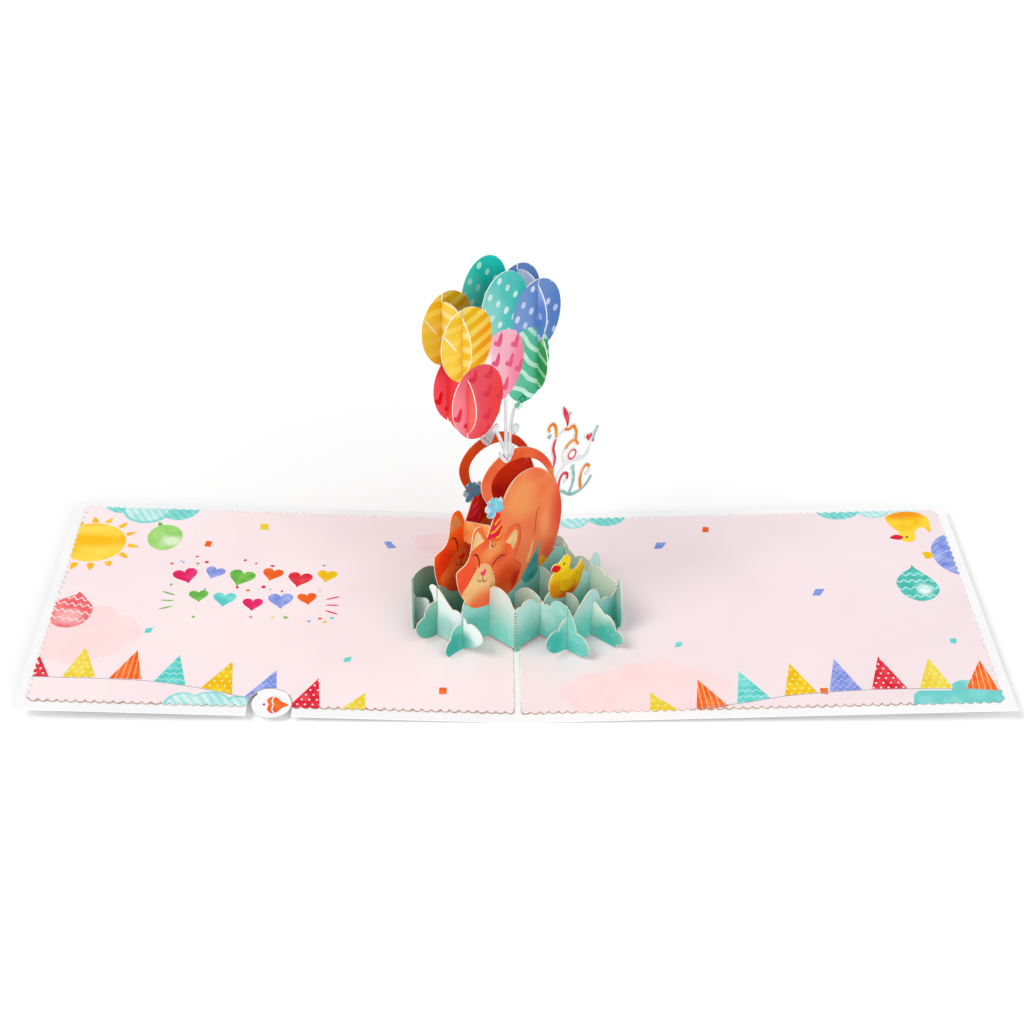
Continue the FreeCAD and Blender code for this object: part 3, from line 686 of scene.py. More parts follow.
def front_strip():
    left = Print("mint left", "mint back")
    right = Print("mint right", "mint back")
    duck_print(right)
    nicks(left, (-1, -2, -3))
    nicks(right, (1, 2, 3))
    # The fold is perforated: a dotted line with burnt ends
    for step in range(12):
        left.add(oval(-0.26, 3.2 + step * 1.42, 0.13, 0.36, 0, 8), "slot nick")
        right.add(oval(0.26, 3.2 + step * 1.42, 0.13, 0.36, 0, 8), "slot nick")
    dress_folded("front_strip_print", "front_strip", [
        (falling(0), left, 0.0, -1, 1),
        (rising(0), right, 0.0, 1, 1),
    ])


def left_strip():
    leaf = Print("mint pale", "mint back")
    nicks(leaf, (-3, -2))
    dress_folded("left_strip_print", "left_strip", [
        (falling(-2), leaf, -4 * CELL, 1, 1),
        (rising(-6), Print("moss", "mint back"), -4 * CELL, 1, -1),
    ])


def right_strip():
    leaf = Print("mint deep", "mint back")
    nicks(leaf, (2, 3))
    dress_folded("right_strip_print", "right_strip", [
        (rising(2), leaf, 4 * CELL, -1, 1),
        (falling(6), Print("sage", "mint back"), 4 * CELL, -1, -1),
    ])


def slats():
    front, back = Print("sage front", "mint back"), Print("sage back", "mint back")
    nicks(front, (-1, 0, 1, 2))
    nicks(back, (0, 1, 2, 3))
    dress("front_slat_print", "front_slat", falling(2), front)
    dress("back_slat_print", "back_slat", falling(4), back)


# Cats


def moved(points, step):
    return [(s + step, z) for s, z in points]


def cat_inks(name, cream, hat, stripe, splash, line, nose):
    for part, colour in (("ear", cream), ("hat", hat), ("stripe", stripe), ("splash", splash),
            ("line", line), ("nose", nose)):
        wash("%s %s" % (name, part), colour, tuple(c * 0.9 for c in colour), 3.0, 0.02, 0.7)
    wash(name + " fringe", tuple(0.5 + c * 0.45 for c in splash), splash, 3.0, 0.0, 0.9, 0.45)
    wash(name + " glint", tuple(min(1.0, c * 1.2) for c in splash), splash, 3.0, 0.0, 0.7)
    wash(name + " band", tuple(c * 0.94 for c in hat[:2]) + (0.30,), (0.86, 0.08, 0.26), 3.0, 0.0,
        0.7)
    wash(name + " ink", (0.36, 0.08, 0.05), (0.28, 0.05, 0.04), 2.0, 0.0, 0.7)


def front_cat_colours(plane):
    name = "amber cat"
    painted(name + " body", plane, (0.93, 0.51, 0.31), (0.91, 0.46, 0.27), [
        (2.5, 57.0, 9.0, 12.0, (0.93, 0.61, 0.35), 0.85),
        (14.5, 41.0, 3.4, 7.5, (0.94, 0.60, 0.38), 0.75),
        (24.5, 44.0, 8.0, 18.0, (0.86, 0.27, 0.18), 0.95),
        (18.0, 27.0, 6.0, 7.0, (0.85, 0.30, 0.20), 0.7),
        (13.0, 66.0, 9.0, 5.0, (0.91, 0.42, 0.27), 0.7),
        (0.0, 41.0, 6.0, 10.0, (0.92, 0.47, 0.31), 0.6),
    ], 9.0, 1.0)
    painted(name + " tail", plane, (0.90, 0.40, 0.21), (0.87, 0.34, 0.16), [
        (14.0, 71.0, 8.0, 6.0, (0.87, 0.30, 0.20), 0.8),
        (-16.0, 68.0, 5.0, 8.0, (0.90, 0.43, 0.27), 0.8),
    ], 8.0, 2.0)
    painted(name + " head", plane, (0.94, 0.43, 0.22), (0.91, 0.36, 0.16), [
        (-11.0, 40.5, 6.5, 5.5, (0.93, 0.60, 0.34), 0.9),
        (-24.0, 33.0, 5.5, 12.0, (0.93, 0.30, 0.16), 0.95),
        (-27.5, 28.0, 3.0, 9.0, (0.91, 0.28, 0.18), 0.8),
        (-8.0, 36.0, 5.5, 3.0, (0.88, 0.33, 0.20), 0.8),
        (-4.5, 25.0, 7.0, 8.0, (0.83, 0.27, 0.07), 0.9),
        (0.5, 21.0, 3.6, 7.0, (0.74, 0.12, 0.04), 0.95),
        (-20.0, 17.5, 7.0, 3.0, (0.92, 0.36, 0.22), 0.9),
    ], 6.0, 3.0)
    painted(name + " cream", plane, (0.94, 0.76, 0.52), (0.92, 0.70, 0.46), [
        (-15.0, 35.5, 3.4, 2.6, (0.92, 0.68, 0.50), 0.8),
        (-17.0, 19.0, 11.0, 8.0, (0.90, 0.43, 0.24), 1.0),
        (-11.5, 18.0, 3.6, 6.5, (0.88, 0.33, 0.17), 0.95),
        (-19.0, 16.5, 9.0, 3.0, (0.91, 0.36, 0.20), 0.9),
    ], 6.0, 4.0)
    cat_inks(name, (0.95, 0.80, 0.55), (0.94, 0.13, 0.13), (0.99, 0.68, 0.16), (0.50, 0.80, 0.89),
        (0.76, 0.26, 0.15), (0.90, 0.28, 0.42))


def back_cat_colours(plane):
    # The back cat is the front cat's figure in a redder copy: the redness is partly its own print
    # and partly painted shade, and the inks are raised to full strength as painted light that makes
    # up for the front cat's shadow
    name = "rust cat"
    step = CAT_STEP
    painted(name + " body", plane, (0.93, 0.21, 0.03), (0.82, 0.13, 0.01), [
        (4.0 + step, 62.0, 12.0, 8.0, (0.98, 0.28, 0.05), 0.6),
    ], 9.0, 1.0)
    painted(name + " tail", plane, (0.90, 0.34, 0.06), (0.84, 0.27, 0.04), [
        (-16.0 + step, 68.0, 4.5, 9.0, (0.80, 0.25, 0.02), 0.9),
        (12.0 + step, 71.0, 9.0, 7.0, (0.84, 0.20, 0.05), 0.8),
    ], 8.0, 2.0)
    painted(name + " head", plane, (1.0, 0.43, 0.09), (0.98, 0.36, 0.06), [
        (-24.0 + step, 34.0, 5.5, 10.0, (0.96, 0.20, 0.02), 0.9),
        (-29.0 + step, 28.0, 3.0, 11.0, (0.92, 0.18, 0.05), 0.8),
        (-20.0 + step, 19.0, 10.0, 4.0, (0.86, 0.20, 0.02), 0.9),
    ], 6.0, 3.0)
    painted(name + " cream", plane, (1.0, 0.50, 0.20), (0.96, 0.41, 0.13), [
        (-15.5 + step, 35.0, 3.4, 2.6, (0.98, 0.48, 0.24), 0.8),
        (-19.0 + step, 20.0, 9.0, 9.0, (0.90, 0.28, 0.05), 0.95),
    ], 6.0, 4.0)
    cat_inks(name, (0.94, 0.62, 0.36), (1.0, 0.09, 0.12), (1.0, 0.32, 0.28), (0.36, 0.58, 0.70),
        (0.72, 0.14, 0.02), (1.0, 0.15, 0.06))


def cat_print(printed, name, step):
    def add(points, part, within=None):
        return printed.add(moved(points, step), "%s %s" % (name, part), within)

    low_edge = [(-26.4, 24.6), (-22.6, 20.6), (-19.3, 18.2), (-15.2, 16.9), (-9.4, 16.3),
        (-4.3, 16.6), (-0.6, 17.6), (4.1, 20.4), (7.5, 22.2), (13.4, 21.9), (17.0, 23.6),
    (20.4, 26.4)]
    figure = add(low_edge + [(34, 30), (34, 92), (-34, 92), (-34, 30)], "tail")
    add(oval(-11.4, 59.8, 4.8, 4.4), "fringe", figure)
    body = add(curve([(-0.6, 17.6), (4.1, 20.2), (8.0, 22.0), (13.4, 21.7), (18.0, 23.0),
        (26.0, 30.0), (28.0, 45.0), (26.0, 56.0), (20.0, 62.5), (15.5, 65.2), (9.4, 68.1),
    (3.4, 68.9), (-1.8, 67.0), (-5.2, 63.4), (-7.4, 58.0), (-8.0, 50.0), (-8.0, 40.0),
    (-6.0, 28.0)]), "body", figure)
    add(stroke([(12.1, 50.1), (10.3, 47.3), (9.8, 41.4), (9.1, 37.6)], 0.5, 0.3), "line", body)
    add(curve([(8.9, 36.2), (8.4, 31.5), (6.8, 27.2), (5.6, 27.4), (7.2, 31.6)]), "cream", body)
    add(curve([(12.2, 26.4), (13.2, 21.0), (16.6, 21.6), (14.8, 25.4)]), "stripe", body)
    add(stroke([(-6.3, 60.8), (-3.6, 64.4), (0.4, 68.4), (7.0, 68.9), (12.0, 66.3), (17.2, 60.4)],
        0.3), "ear", figure)
    head = add(curve([(-30.5, 39.2), (-29.4, 32.0), (-26.4, 25.2), (-22.9, 20.6), (-19.3, 18.2),
        (-15.2, 16.8), (-9.4, 16.2), (-4.3, 16.8), (-0.2, 19.2), (1.9, 23.0), (2.7, 27.6),
    (-0.6, 31.4), (0.4, 33.8), (2.3, 39.8), (2.1, 44.3), (0.7, 46.9), (-2.6, 46.9), (-5.9, 44.8),
    (-8.4, 43.8), (-13.0, 46.0), (-15.6, 52.0), (-18.8, 56.0), (-22.6, 53.0), (-23.6, 46.6),
    (-26.0, 42.0)], True, 4), "head", figure)
    add(stroke([(2.0, 23.0), (2.7, 27.6), (-0.6, 31.4), (0.4, 33.8), (2.2, 38.6), (2.3, 41.8),
        (2.1, 44.3), (1.2, 46.4), (-0.1, 47.2), (-2.8, 46.9), (-5.9, 45.2)], 0.34), "line", figure)
    for corners in (
        [(-21.8, 45.4), (-20.9, 49.4), (-19.6, 52.8), (-18.7, 52.8), (-17.2, 50.2), (-15.6, 47.0),
            (-18.4, 46.6)],
        [(-5.1, 41.2), (-2.3, 43.9), (-0.6, 45.0), (0.4, 44.6), (0.9, 42.0), (0.5, 39.6),
            (-1.3, 36.2), (-2.6, 39.4)],
    ):
        add(corners, "ear", head)
    add(curve([(-26.4, 27.8), (-23.6, 30.8), (-21.0, 34.0), (-18.6, 36.6), (-16.2, 37.2),
        (-13.4, 35.4), (-11.4, 31.8), (-10.3, 26.9), (-10.3, 22.4), (-12.0, 19.4), (-15.6, 17.6),
    (-20.4, 18.6), (-24.2, 22.6)]), "cream", head)
    for line in (
        [(-21.4, 42.6), (-20.2, 43.2), (-18.9, 41.8), (-18.1, 39.0), (-17.9, 35.9)],
        [(-12.0, 32.7), (-11.1, 34.5), (-9.2, 35.9), (-7.2, 36.4), (-4.8, 35.4)],
    ):
        add(stroke(line, 0.55), "ink", head)
    for line in (
        [(-18.7, 31.4), (-18.1, 29.9), (-16.9, 29.5), (-16.3, 30.6), (-16.2, 32.2)],
        [(-16.3, 30.6), (-15.9, 28.9), (-14.9, 28.4), (-14.2, 29.0)],
        [(-12.4, 44.2), (-11.6, 42.6), (-10.6, 42.5), (-9.9, 43.4)],
    ):
        add(stroke(line, 0.34), "ink", head)
    for line in (
        [(-21.8, 38.1), (-18.9, 35.9)], [(-22.0, 36.5), (-19.2, 34.8)],
        [(-12.3, 31.9), (-9.9, 31.1)], [(-12.3, 30.5), (-9.7, 29.3)],
    ):
        add(stroke(line, 0.22, 0.45, False), "line", head)
    add(heart(-15.9, 32.8, 1.7, 12), "nose", head)
    hat = add(curve([(-9.6, 58.0), (-11.0, 53.4), (-12.6, 50.0), (-14.4, 46.6), (-12.6, 46.7),
        (-10.6, 46.1), (-8.4, 44.4), (-6.8, 45.5), (-6.6, 48.1), (-7.6, 51.7), (-8.4, 55.6)], True,
        3), "hat", figure)
    for line in (
        [(-13.6, 47.8), (-11.2, 47.3), (-9.5, 47.8), (-7.6, 49.4)],
        [(-12.0, 50.9), (-9.9, 50.8), (-7.8, 52.2)],
    ):
        add(stroke(line, 1.3, 0.8), "band", hat)
    for line in (
        [(-10.8, 51.9), (-9.6, 52.5), (-8.0, 53.8)], [(-12.6, 48.9), (-10.5, 49.0), (-9.1, 49.8),
            (-7.4, 51.0)],
        [(-10.0, 45.9), (-8.6, 45.5), (-7.5, 46.4), (-7.0, 48.4)],
    ):
        add(stroke(line, 1.2, 0.6), "stripe", hat)
    add(curve([(-14.7, 63.5), (-12.8, 62.8), (-12.6, 64.2), (-11.3, 64.6), (-10.7, 63.8),
        (-9.6, 63.3), (-9.1, 61.6), (-7.8, 61.1), (-6.9, 59.7), (-6.7, 58.4), (-6.0, 57.6),
    (-7.3, 56.7), (-8.4, 56.5), (-10.1, 57.3), (-11.0, 56.4), (-12.3, 56.0), (-13.9, 56.0),
    (-15.3, 57.7), (-13.2, 58.4), (-12.4, 58.8), (-12.6, 59.6), (-14.4, 61.4)], True, 3), "splash")
    add(oval(-12.2, 61.3, 0.5, 0.55, 0, 12), "body")
    for line in ([(-9.6, 58.0), (-9.9, 60.4), (-10.4, 62.8)], [(-8.9, 58.2), (-7.9, 59.8)],
            [(-10.8, 58.4), (-12.6, 57.4)]):
        add(stroke(line, 0.3), "glint")


def cats():
    front, back = rising(-2), rising(-4)
    front_cat_colours(front)
    back_cat_colours(back)
    printed = Print("mint cat")
    cat_print(printed, "amber cat", 0.0)
    # Blade of grass in front of the body
    printed.add(curve([(11.7, 34.0), (10.8, 31.2), (9.6, 29.3), (7.6, 26.5), (5.1, 23.4),
        (3.2, 20.6), (6.0, 17.0), (11.0, 19.0), (11.4, 23.0), (11.8, 27.8)]), "blade")
    nicks(printed, (-2, -1, 0, 1, 2), 9.8)
    dress("front_cat_print", "front_cat", front, printed)
    printed = Print("bush back")
    cat_print(printed, "rust cat", CAT_STEP)
    dress("back_cat_print", "back_cat", back, printed)


# Balloons

BALLOONS = {
    "teal": (-7.5, 138.6, 10.3, 14.4, 2.0),
    "blue": (7.7, 131.1, 11.0, 13.9, 6.0),
    "green": (3.2, 113.2, 10.6, 14.4, 3.0),
    "pink": (-9.2, 117.5, 10.4, 13.6, -4.0),
    "yellow": (-24.4, 131.7, 10.9, 14.0, 6.0),
    "red": (-19.3, 107.3, 11.2, 14.4, 8.0),
}
FINS = {
    "yellow": (-26.2, 131.3, 12.8),
    "blue": (7.8, 131.4, 13.2),
    "red": (-24.0, 107.4, 12.6),
    "green": (8.9, 112.5, 14.0),
}
# Left side, body, right side and pattern of each balloon
INKS = {
    "teal": ((0.52, 0.81, 0.78), (0.31, 0.75, 0.72), (0.13, 0.67, 0.66), (0.80, 0.91, 0.88)),
    "blue": ((0.46, 0.59, 0.79), (0.41, 0.55, 0.78), (0.30, 0.47, 0.73), (0.80, 0.84, 0.93)),
    "green": ((0.36, 0.75, 0.64), (0.36, 0.75, 0.60), (0.10, 0.62, 0.40), (0.78, 0.92, 0.86)),
    "pink": ((0.97, 0.80, 0.85), (0.96, 0.70, 0.77), (0.93, 0.50, 0.61), (0.87, 0.30, 0.45)),
    "yellow": ((0.93, 0.80, 0.28), (0.91, 0.71, 0.04), (0.91, 0.56, 0.0), (0.94, 0.82, 0.37)),
    "red": ((0.94, 0.54, 0.60), (0.90, 0.31, 0.36), (0.90, 0.24, 0.23), (0.85, 0.18, 0.28)),
}
FIN_INKS = {
    "yellow": ((0.99, 0.80, 0.20), (0.99, 0.86, 0.34), (0.98, 0.76, 0.14), (1.0, 0.93, 0.66)),
    # The blue fin's far side and body are raised to pale, near-white blue: painted light that makes
    # up for the shade the sheets cast on the fin
    "blue": ((0.96, 0.98, 1.0), (0.80, 0.87, 1.0), (0.34, 0.55, 0.86), (0.84, 0.88, 0.96)),
    "red": ((0.96, 0.20, 0.24), (0.97, 0.32, 0.33), (0.97, 0.46, 0.43), (0.92, 0.28, 0.30)),
    "green": ((0.60, 0.86, 0.64), (0.42, 0.78, 0.52), (0.16, 0.62, 0.32), (0.82, 0.94, 0.82)),
}
# How much richer each colour is on the sheet behind: the far balloons are copies of the near ones,
# more saturated partly as the far sheet's print and partly as painted shade, and brighter as
# painted light that makes up for the near sheet's shadow
RICHER_AND_LIT = {"teal": 1.1, "blue": 0.05, "green": 0.3, "pink": 0.3, "yellow": 0.05, "red": 0.55}
HEARTS = {
    "pink": ((-1.0, 10.5), (6.7, 7.4), (-2.0, 3.1), (4.3, 0.7), (8.8, -3.0), (2.2, -7.8),
        (-5.4, -6.0)),
    "red": ((4.9, 9.8), (4.3, 2.8), (4.3, -6.2), (-2.2, 10.9), (10.1, -0.3), (-4.5, -6.4),
        (-9.1, -1.8), (3.6, -13.0)),
}


def richer_and_lit(colour, share):
    # Lowers the weaker channels and raises the strongest: more saturated, and brighter as painted
    # light
    top = max(colour)
    return tuple(min(1.0, top * (1 + 0.12 * share) * (c / top) ** (1 + share)) for c in colour)


def balloon_inks(label, plane, colour, spot, share, inks):
    left, body, right, pattern = (richer_and_lit(ink, share) for ink in inks[colour])
    s, z, wide, high = spot
    stains = [
        (s - wide * 0.75, z - high * 0.1, wide * 0.8, high * 1.1, left, 0.95),
        (s + wide * 0.95, z - high * 0.2, wide * 0.75, high * 1.2, right, 0.95),
        (s + wide * 0.1, z - high * 1.0, wide * 0.9, high * 0.5, right, 0.5),
    ]
    if colour == "pink":
        shine = (0.97, 0.93, 0.95)
        stains.append((s - wide * 0.62, z + high * 0.38, wide * 0.3, high * 0.34, shine, 1.0))
    painted("%s %s" % (label, colour), plane, body, tuple(c * 0.97 for c in body), stains, 6.0,
        share * 3, 0.05)
    soft = [p * 0.8 + b * 0.2 for p, b in zip(pattern, body)]
    painted("%s %s pattern" % (label, colour), plane, pattern, soft, [
        (s + wide * 0.95, z - high * 0.2, wide * 0.6, high * 1.2,
            tuple(p * 0.7 + r * 0.3 for p, r in zip(pattern, right)), 0.9),
    ], 4.0, 1.0, 0.02)


def balloon_pattern(printed, label, colour, whole, spot):
    s, z, wide, high = spot
    add, paint = printed.add, "%s %s pattern" % (label, colour)
    if colour in ("teal", "blue"):
        first = (-3.0, 3.5) if colour == "teal" else (-6.6, 6.4)
        for row in range(-5, 6):
            for col in range(-6, 7):
                place = (s + first[0] + col * 3.65 - row * 3.4 + row * row * 0.7,
                    z + first[1] - col * 3.6 - row * 4.6)
                if math.hypot((place[0] - s) / wide, (place[1] - z) / high) < 1.2:
                    size = 1 + 0.07 * math.sin(row * 2.1 + col * 1.3)
                    add(oval(place[0], place[1], 1.05 * size, 1.25 * size, -14, 16), paint, whole)
    elif colour == "yellow":
        for row in range(-4, 4):
            level = z + row * 5.15 - 2.4
            line = [(s - wide * 1.2, level + 0.3), (s - wide * 0.2, level - 0.2),
                (s + wide * 0.5, level + 1.9),
                    (s + wide * 1.2, level + 5.0)]
            add(stroke(line, 2.2 + 0.3 * (row % 2), 0.9), paint, whole)
    elif colour == "green":
        for row in range(-3, 4):
            level = z + 1.0 + row * 6.6
            bend = 0.85 + 0.12 * row
            line = [(s - wide * 1.2, level + 15 * bend), (s - wide * 0.25, level + 6.0 * bend),
                (s + wide * 0.1, level),
                    (s + wide * 0.55, level - 4.2 * bend), (s + wide * 1.2, level - 7 * bend)]
            add(stroke(line, 1.6, 0.9), paint, whole)
    else:
        # Hearts that lean over, one lobe taller than the other
        lobes = curve([(-2.1, -0.6), (-1.3, 0.6), (-0.5, 0.0), (0.8, 2.3), (1.7, 2.4), (1.8, 0.2),
            (0.9, -2.5), (-0.6, -1.9)], True, 3)
        for ds, dz in HEARTS[colour]:
            add([(s + ds + x, z + dz + y) for x, y in lobes], paint, whole)


def balloon_sheet(name, node, plane, label, step, far):
    printed = Print("ribbon grey")
    add = printed.add
    for colour, (s, z, wide, high, turn) in BALLOONS.items():
        spot = (s + step, z, wide, high)
        balloon_inks(label, plane, colour, spot, RICHER_AND_LIT[colour] if far else 0.0, INKS)
        whole = add(egg(s + step, z, wide + 0.35, high + 0.35, turn), "%s %s" % (label, colour))
        balloon_pattern(printed, label, colour, whole, spot)
        if colour == "yellow":
            add(moved(stroke([(-34.1, 138.3), (-29.0, 131.3)], 0.5, 0.9, False), step), "chalk",
                whole)
    # The green balloon's knot and curled bow, the red one's bow, and the curled strings
    add(oval(-0.9 + step, 99.3, 1.5, 1.5), "knot pale")
    for line in (
        [(-0.3, 100.6), (-1.6, 102.1), (-0.9, 103.3), (-2.4, 104.3), (-3.1, 103.0), (-1.4, 100.9),
            (-0.1, 100.4)],
        [(-0.3, 100.6), (1.4, 101.6), (2.7, 100.4), (2.1, 99.0), (0.7, 99.7), (1.1, 100.6)],
    ):
        add(moved(stroke(line, 0.5, 0.8), step), "knot green")
    add(moved(curve([(-10.2, 97.4), (-12.3, 95.6), (-14.3, 95.0), (-13.8, 91.8), (-12.7, 91.8),
        (-12.1, 94.4), (-10.2, 95.2)]), step), "knot red")
    for line in (
        [(-1.4, 92.2), (-0.1, 91.6), (0.9, 89.8), (0.5, 87.8), (-1.4, 87.3), (-2.8, 88.8),
            (-2.5, 90.6), (-1.1, 90.9),
         (-0.3, 89.8), (-1.2, 89.0)],
        [(-7.0, 81.8), (-6.2, 79.3), (-4.2, 76.6), (-3.2, 78.0), (-3.5, 80.2)],
        [(-4.6, 80.0), (-4.2, 78.6)], [(-15.8, 93.0), (-15.4, 90.6), (-14.4, 88.8)],
        [(-7.4, 83.4), (-11.6, 93.0)],
        [(-5.2, 82.0), (-5.0, 96.0)], [(-3.2, 82.0), (-3.6, 90.0), (-2.2, 98.0)],
    ):
        add(moved(stroke(line, 0.34), step), "string line")
    dress(name, node, plane, printed, "balloon edge", LAYER)


def fin_plane(colour):
    s = FINS[colour][0]
    front = rising(-2)
    base = front.place(s, 0, LAYER) / MM
    share = 2 * CELL_Y / CELL
    across = front.along * (FIN_STEP + share * CELL_Y) - front.out * (share * CELL_X)
    return Plane(base, -across, (0, 0, 1)), across.length


def fins():
    for colour, (s, z, high) in FINS.items():
        plane, gap = fin_plane(colour)
        spot = (-gap / 2, z, 12.2, high)
        balloon_inks("fin", plane, colour, spot, 0.0, FIN_INKS)
        printed = Print("fin " + colour)
        whole = printed.add(egg(-gap / 2, z, 13.0, high + 1.0), "fin " + colour)
        if colour != "red":
            balloon_pattern(printed, "fin", colour, whole, spot)
        dress(colour + "_fin_print", colour + "_fin", plane, printed,
            "balloon edge")


def balloons():
    wash("ribbon grey", (0.90, 0.91, 0.92), (0.80, 0.82, 0.84), 4.0, 0.0, 0.7)
    wash("knot pale", (0.45, 0.80, 0.64), (0.30, 0.70, 0.52), 2.0, 0.0, 0.7)
    wash("knot green", (0.04, 0.38, 0.26), (0.03, 0.34, 0.22), 2.0, 0.0, 0.7)
    wash("knot red", (0.86, 0.30, 0.30), (0.76, 0.16, 0.20), 2.0, 0.0, 0.7)
    balloon_sheet("front_balloons_print", "front_balloons", rising(-2), "near", 0.0, False)
    balloon_sheet("back_balloons_print", "back_balloons", rising(-4), "far", BALLOON_STEP, True)
    fins()


# Streamer


def streamer():
    wash("plume red", (0.92, 0.32, 0.34), (0.84, 0.16, 0.30), 3.0, 0.0, 0.7)
    wash("curl orange", (0.95, 0.60, 0.14), (0.91, 0.45, 0.08), 4.0, 0.0, 0.7)
    wash("curl rose", (0.94, 0.42, 0.50), (0.90, 0.30, 0.36), 3.0, 0.0, 0.7)
    wash("curl teal", (0.62, 0.80, 0.78), (0.48, 0.70, 0.68), 3.0, 0.0, 0.7)
    wash("curl white", (0.95, 0.96, 0.96), (0.86, 0.89, 0.90), 4.0, 0.0, 0.7)
    printed = Print("curl white")
    for paint, line in (
        ("curl orange", [(19.6, 76.0), (19.2, 80.6), (17.4, 82.8), (15.7, 81.6), (16.4, 79.8)]),
        ("plume red", [(16.8, 60.6), (19.2, 66.8), (18.2, 72.0), (19.4, 75.6)]),
        ("curl orange", [(23.6, 78.2), (26.0, 77.1), (28.3, 77.5), (29.8, 74.2), (29.6, 71.0),
            (31.3, 68.2)]),
        ("curl orange", [(29.0, 71.2), (26.4, 70.8), (24.4, 69.0)]),
        ("curl teal", [(19.6, 50.6), (23.0, 51.0), (27.4, 47.6), (31.6, 46.9), (35.6, 48.0),
            (38.8, 51.2)]),
        ("plume red", [(21.6, 51.2), (21.8, 55.6), (23.4, 58.4), (25.8, 57.6), (25.8, 55.2)]),
        ("curl teal", [(26.8, 47.8), (28.6, 51.0), (29.4, 54.6), (29.1, 57.0), (28.7, 59.4)]),
        ("curl orange", [(33.4, 47.2), (32.8, 51.4), (33.6, 55.4)]),
        ("curl orange", [(33.6, 55.4), (35.8, 57.2), (37.6, 55.6)]),
        ("curl teal", [(38.4, 66.6), (39.4, 69.4), (41.2, 72.4)]),
    ):
        printed.add(stroke(line, 1.3, 0.85), paint)
    printed.add(curve([(22.9, 88.0), (22.8, 84.8), (24.1, 81.6), (25.0, 78.4), (25.8, 80.4),
        (25.6, 83.6)]), "plume red")
    printed.add(oval(26.2, 83.6, 0.8, 0.8, 0, 14), "curl teal")
    printed.add(oval(16.2, 78.0, 1.0, 1.0, 0, 14), "curl teal")
    printed.add(oval(28.1, 65.2, 2.3, 2.3), "curl rose")
    printed.add(heart(36.6, 69.3, 1.9, -4), "plume red")
    printed.add(oval(38.9, 66.8, 0.6, 0.6, 0, 12), "plume red")
    printed.add(oval(28.7, 59.4, 0.9, 0.9, 0, 12), "curl teal")
    dress("streamer_print", "streamer", rising(-2), printed, "balloon edge",
        -LAYER)


# Printed sheets on the card


def puffs(add, paint, ovals):
    # Cloud: round puffs that run together
    for s, z, wide, high in ovals:
        add(oval(s, z, wide, high, 0, 36), paint)


def flag(printed, corners, ground, pattern, chalk):
    whole = printed.add(corners, ground)
    s = sum(c[0] for c in corners) / 3
    z = sum(c[1] for c in corners) / 3
    top = max(corners, key=lambda c: c[1])
    low = min(c[1] for c in corners)
    if pattern == "dots":
        for row in range(-3, 5):
            for col in range(-4, 5):
                place = (s + col * 2.7 + (row % 2) * 1.35, z + row * 2.6)
                printed.add(oval(place[0], place[1], 0.42, 0.45, 0, 10), chalk, whole)
    elif pattern == "stripes":
        for step in range(-3, 4):
            foot = (s + step * 2.2, low - 1)
            head = (top[0] * 0.6 + s * 0.4 + step * 1.5, top[1] + 1)
            printed.add(stroke([head, foot], 0.4, 1.0, False), chalk, whole)
    else:
        height = 1.1 if pattern == "zigzag" else 0.5
        for row in range(-2, 4):
            level = z + row * 3.2
            line = [(s - 9 + k * 1.3, level + (height if k % 2 else -height)) for k in range(15)]
            printed.add(stroke(line, 0.34, 1.0, pattern != "zigzag"), chalk, whole)


FLAG_KINDS = {
    "red": ("red print", "dots", "chalk"),
    "yellow": ("yellow print", "dots", "chalk yellow"),
    "orange": ("orange print", "stripes", "chalk orange"),
    "teal": ("teal print", "waves", "chalk teal"),
    "gold": ("gold print", "dots", "chalk yellow"),
    "violet": ("violet print", "zigzag", "chalk violet"),
}


def mirrored(points):
    return [(-s, z) for s, z in points]


def sheet_level(gap):
    # Height of a printed sheet's middle over the panel, with this gap under the sheet
    return SHEET / 2 + PAPER + gap


def ground(printed, node, plane, gap, paint):
    # The sheet's ground colour, inside its rim of burn marks and painted shadow
    rim = 0.42
    for loop in cut_loops(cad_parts[node], plane, sheet_level(gap) + SHEET / 2):
        printed.add(inset(loop, rim), paint)


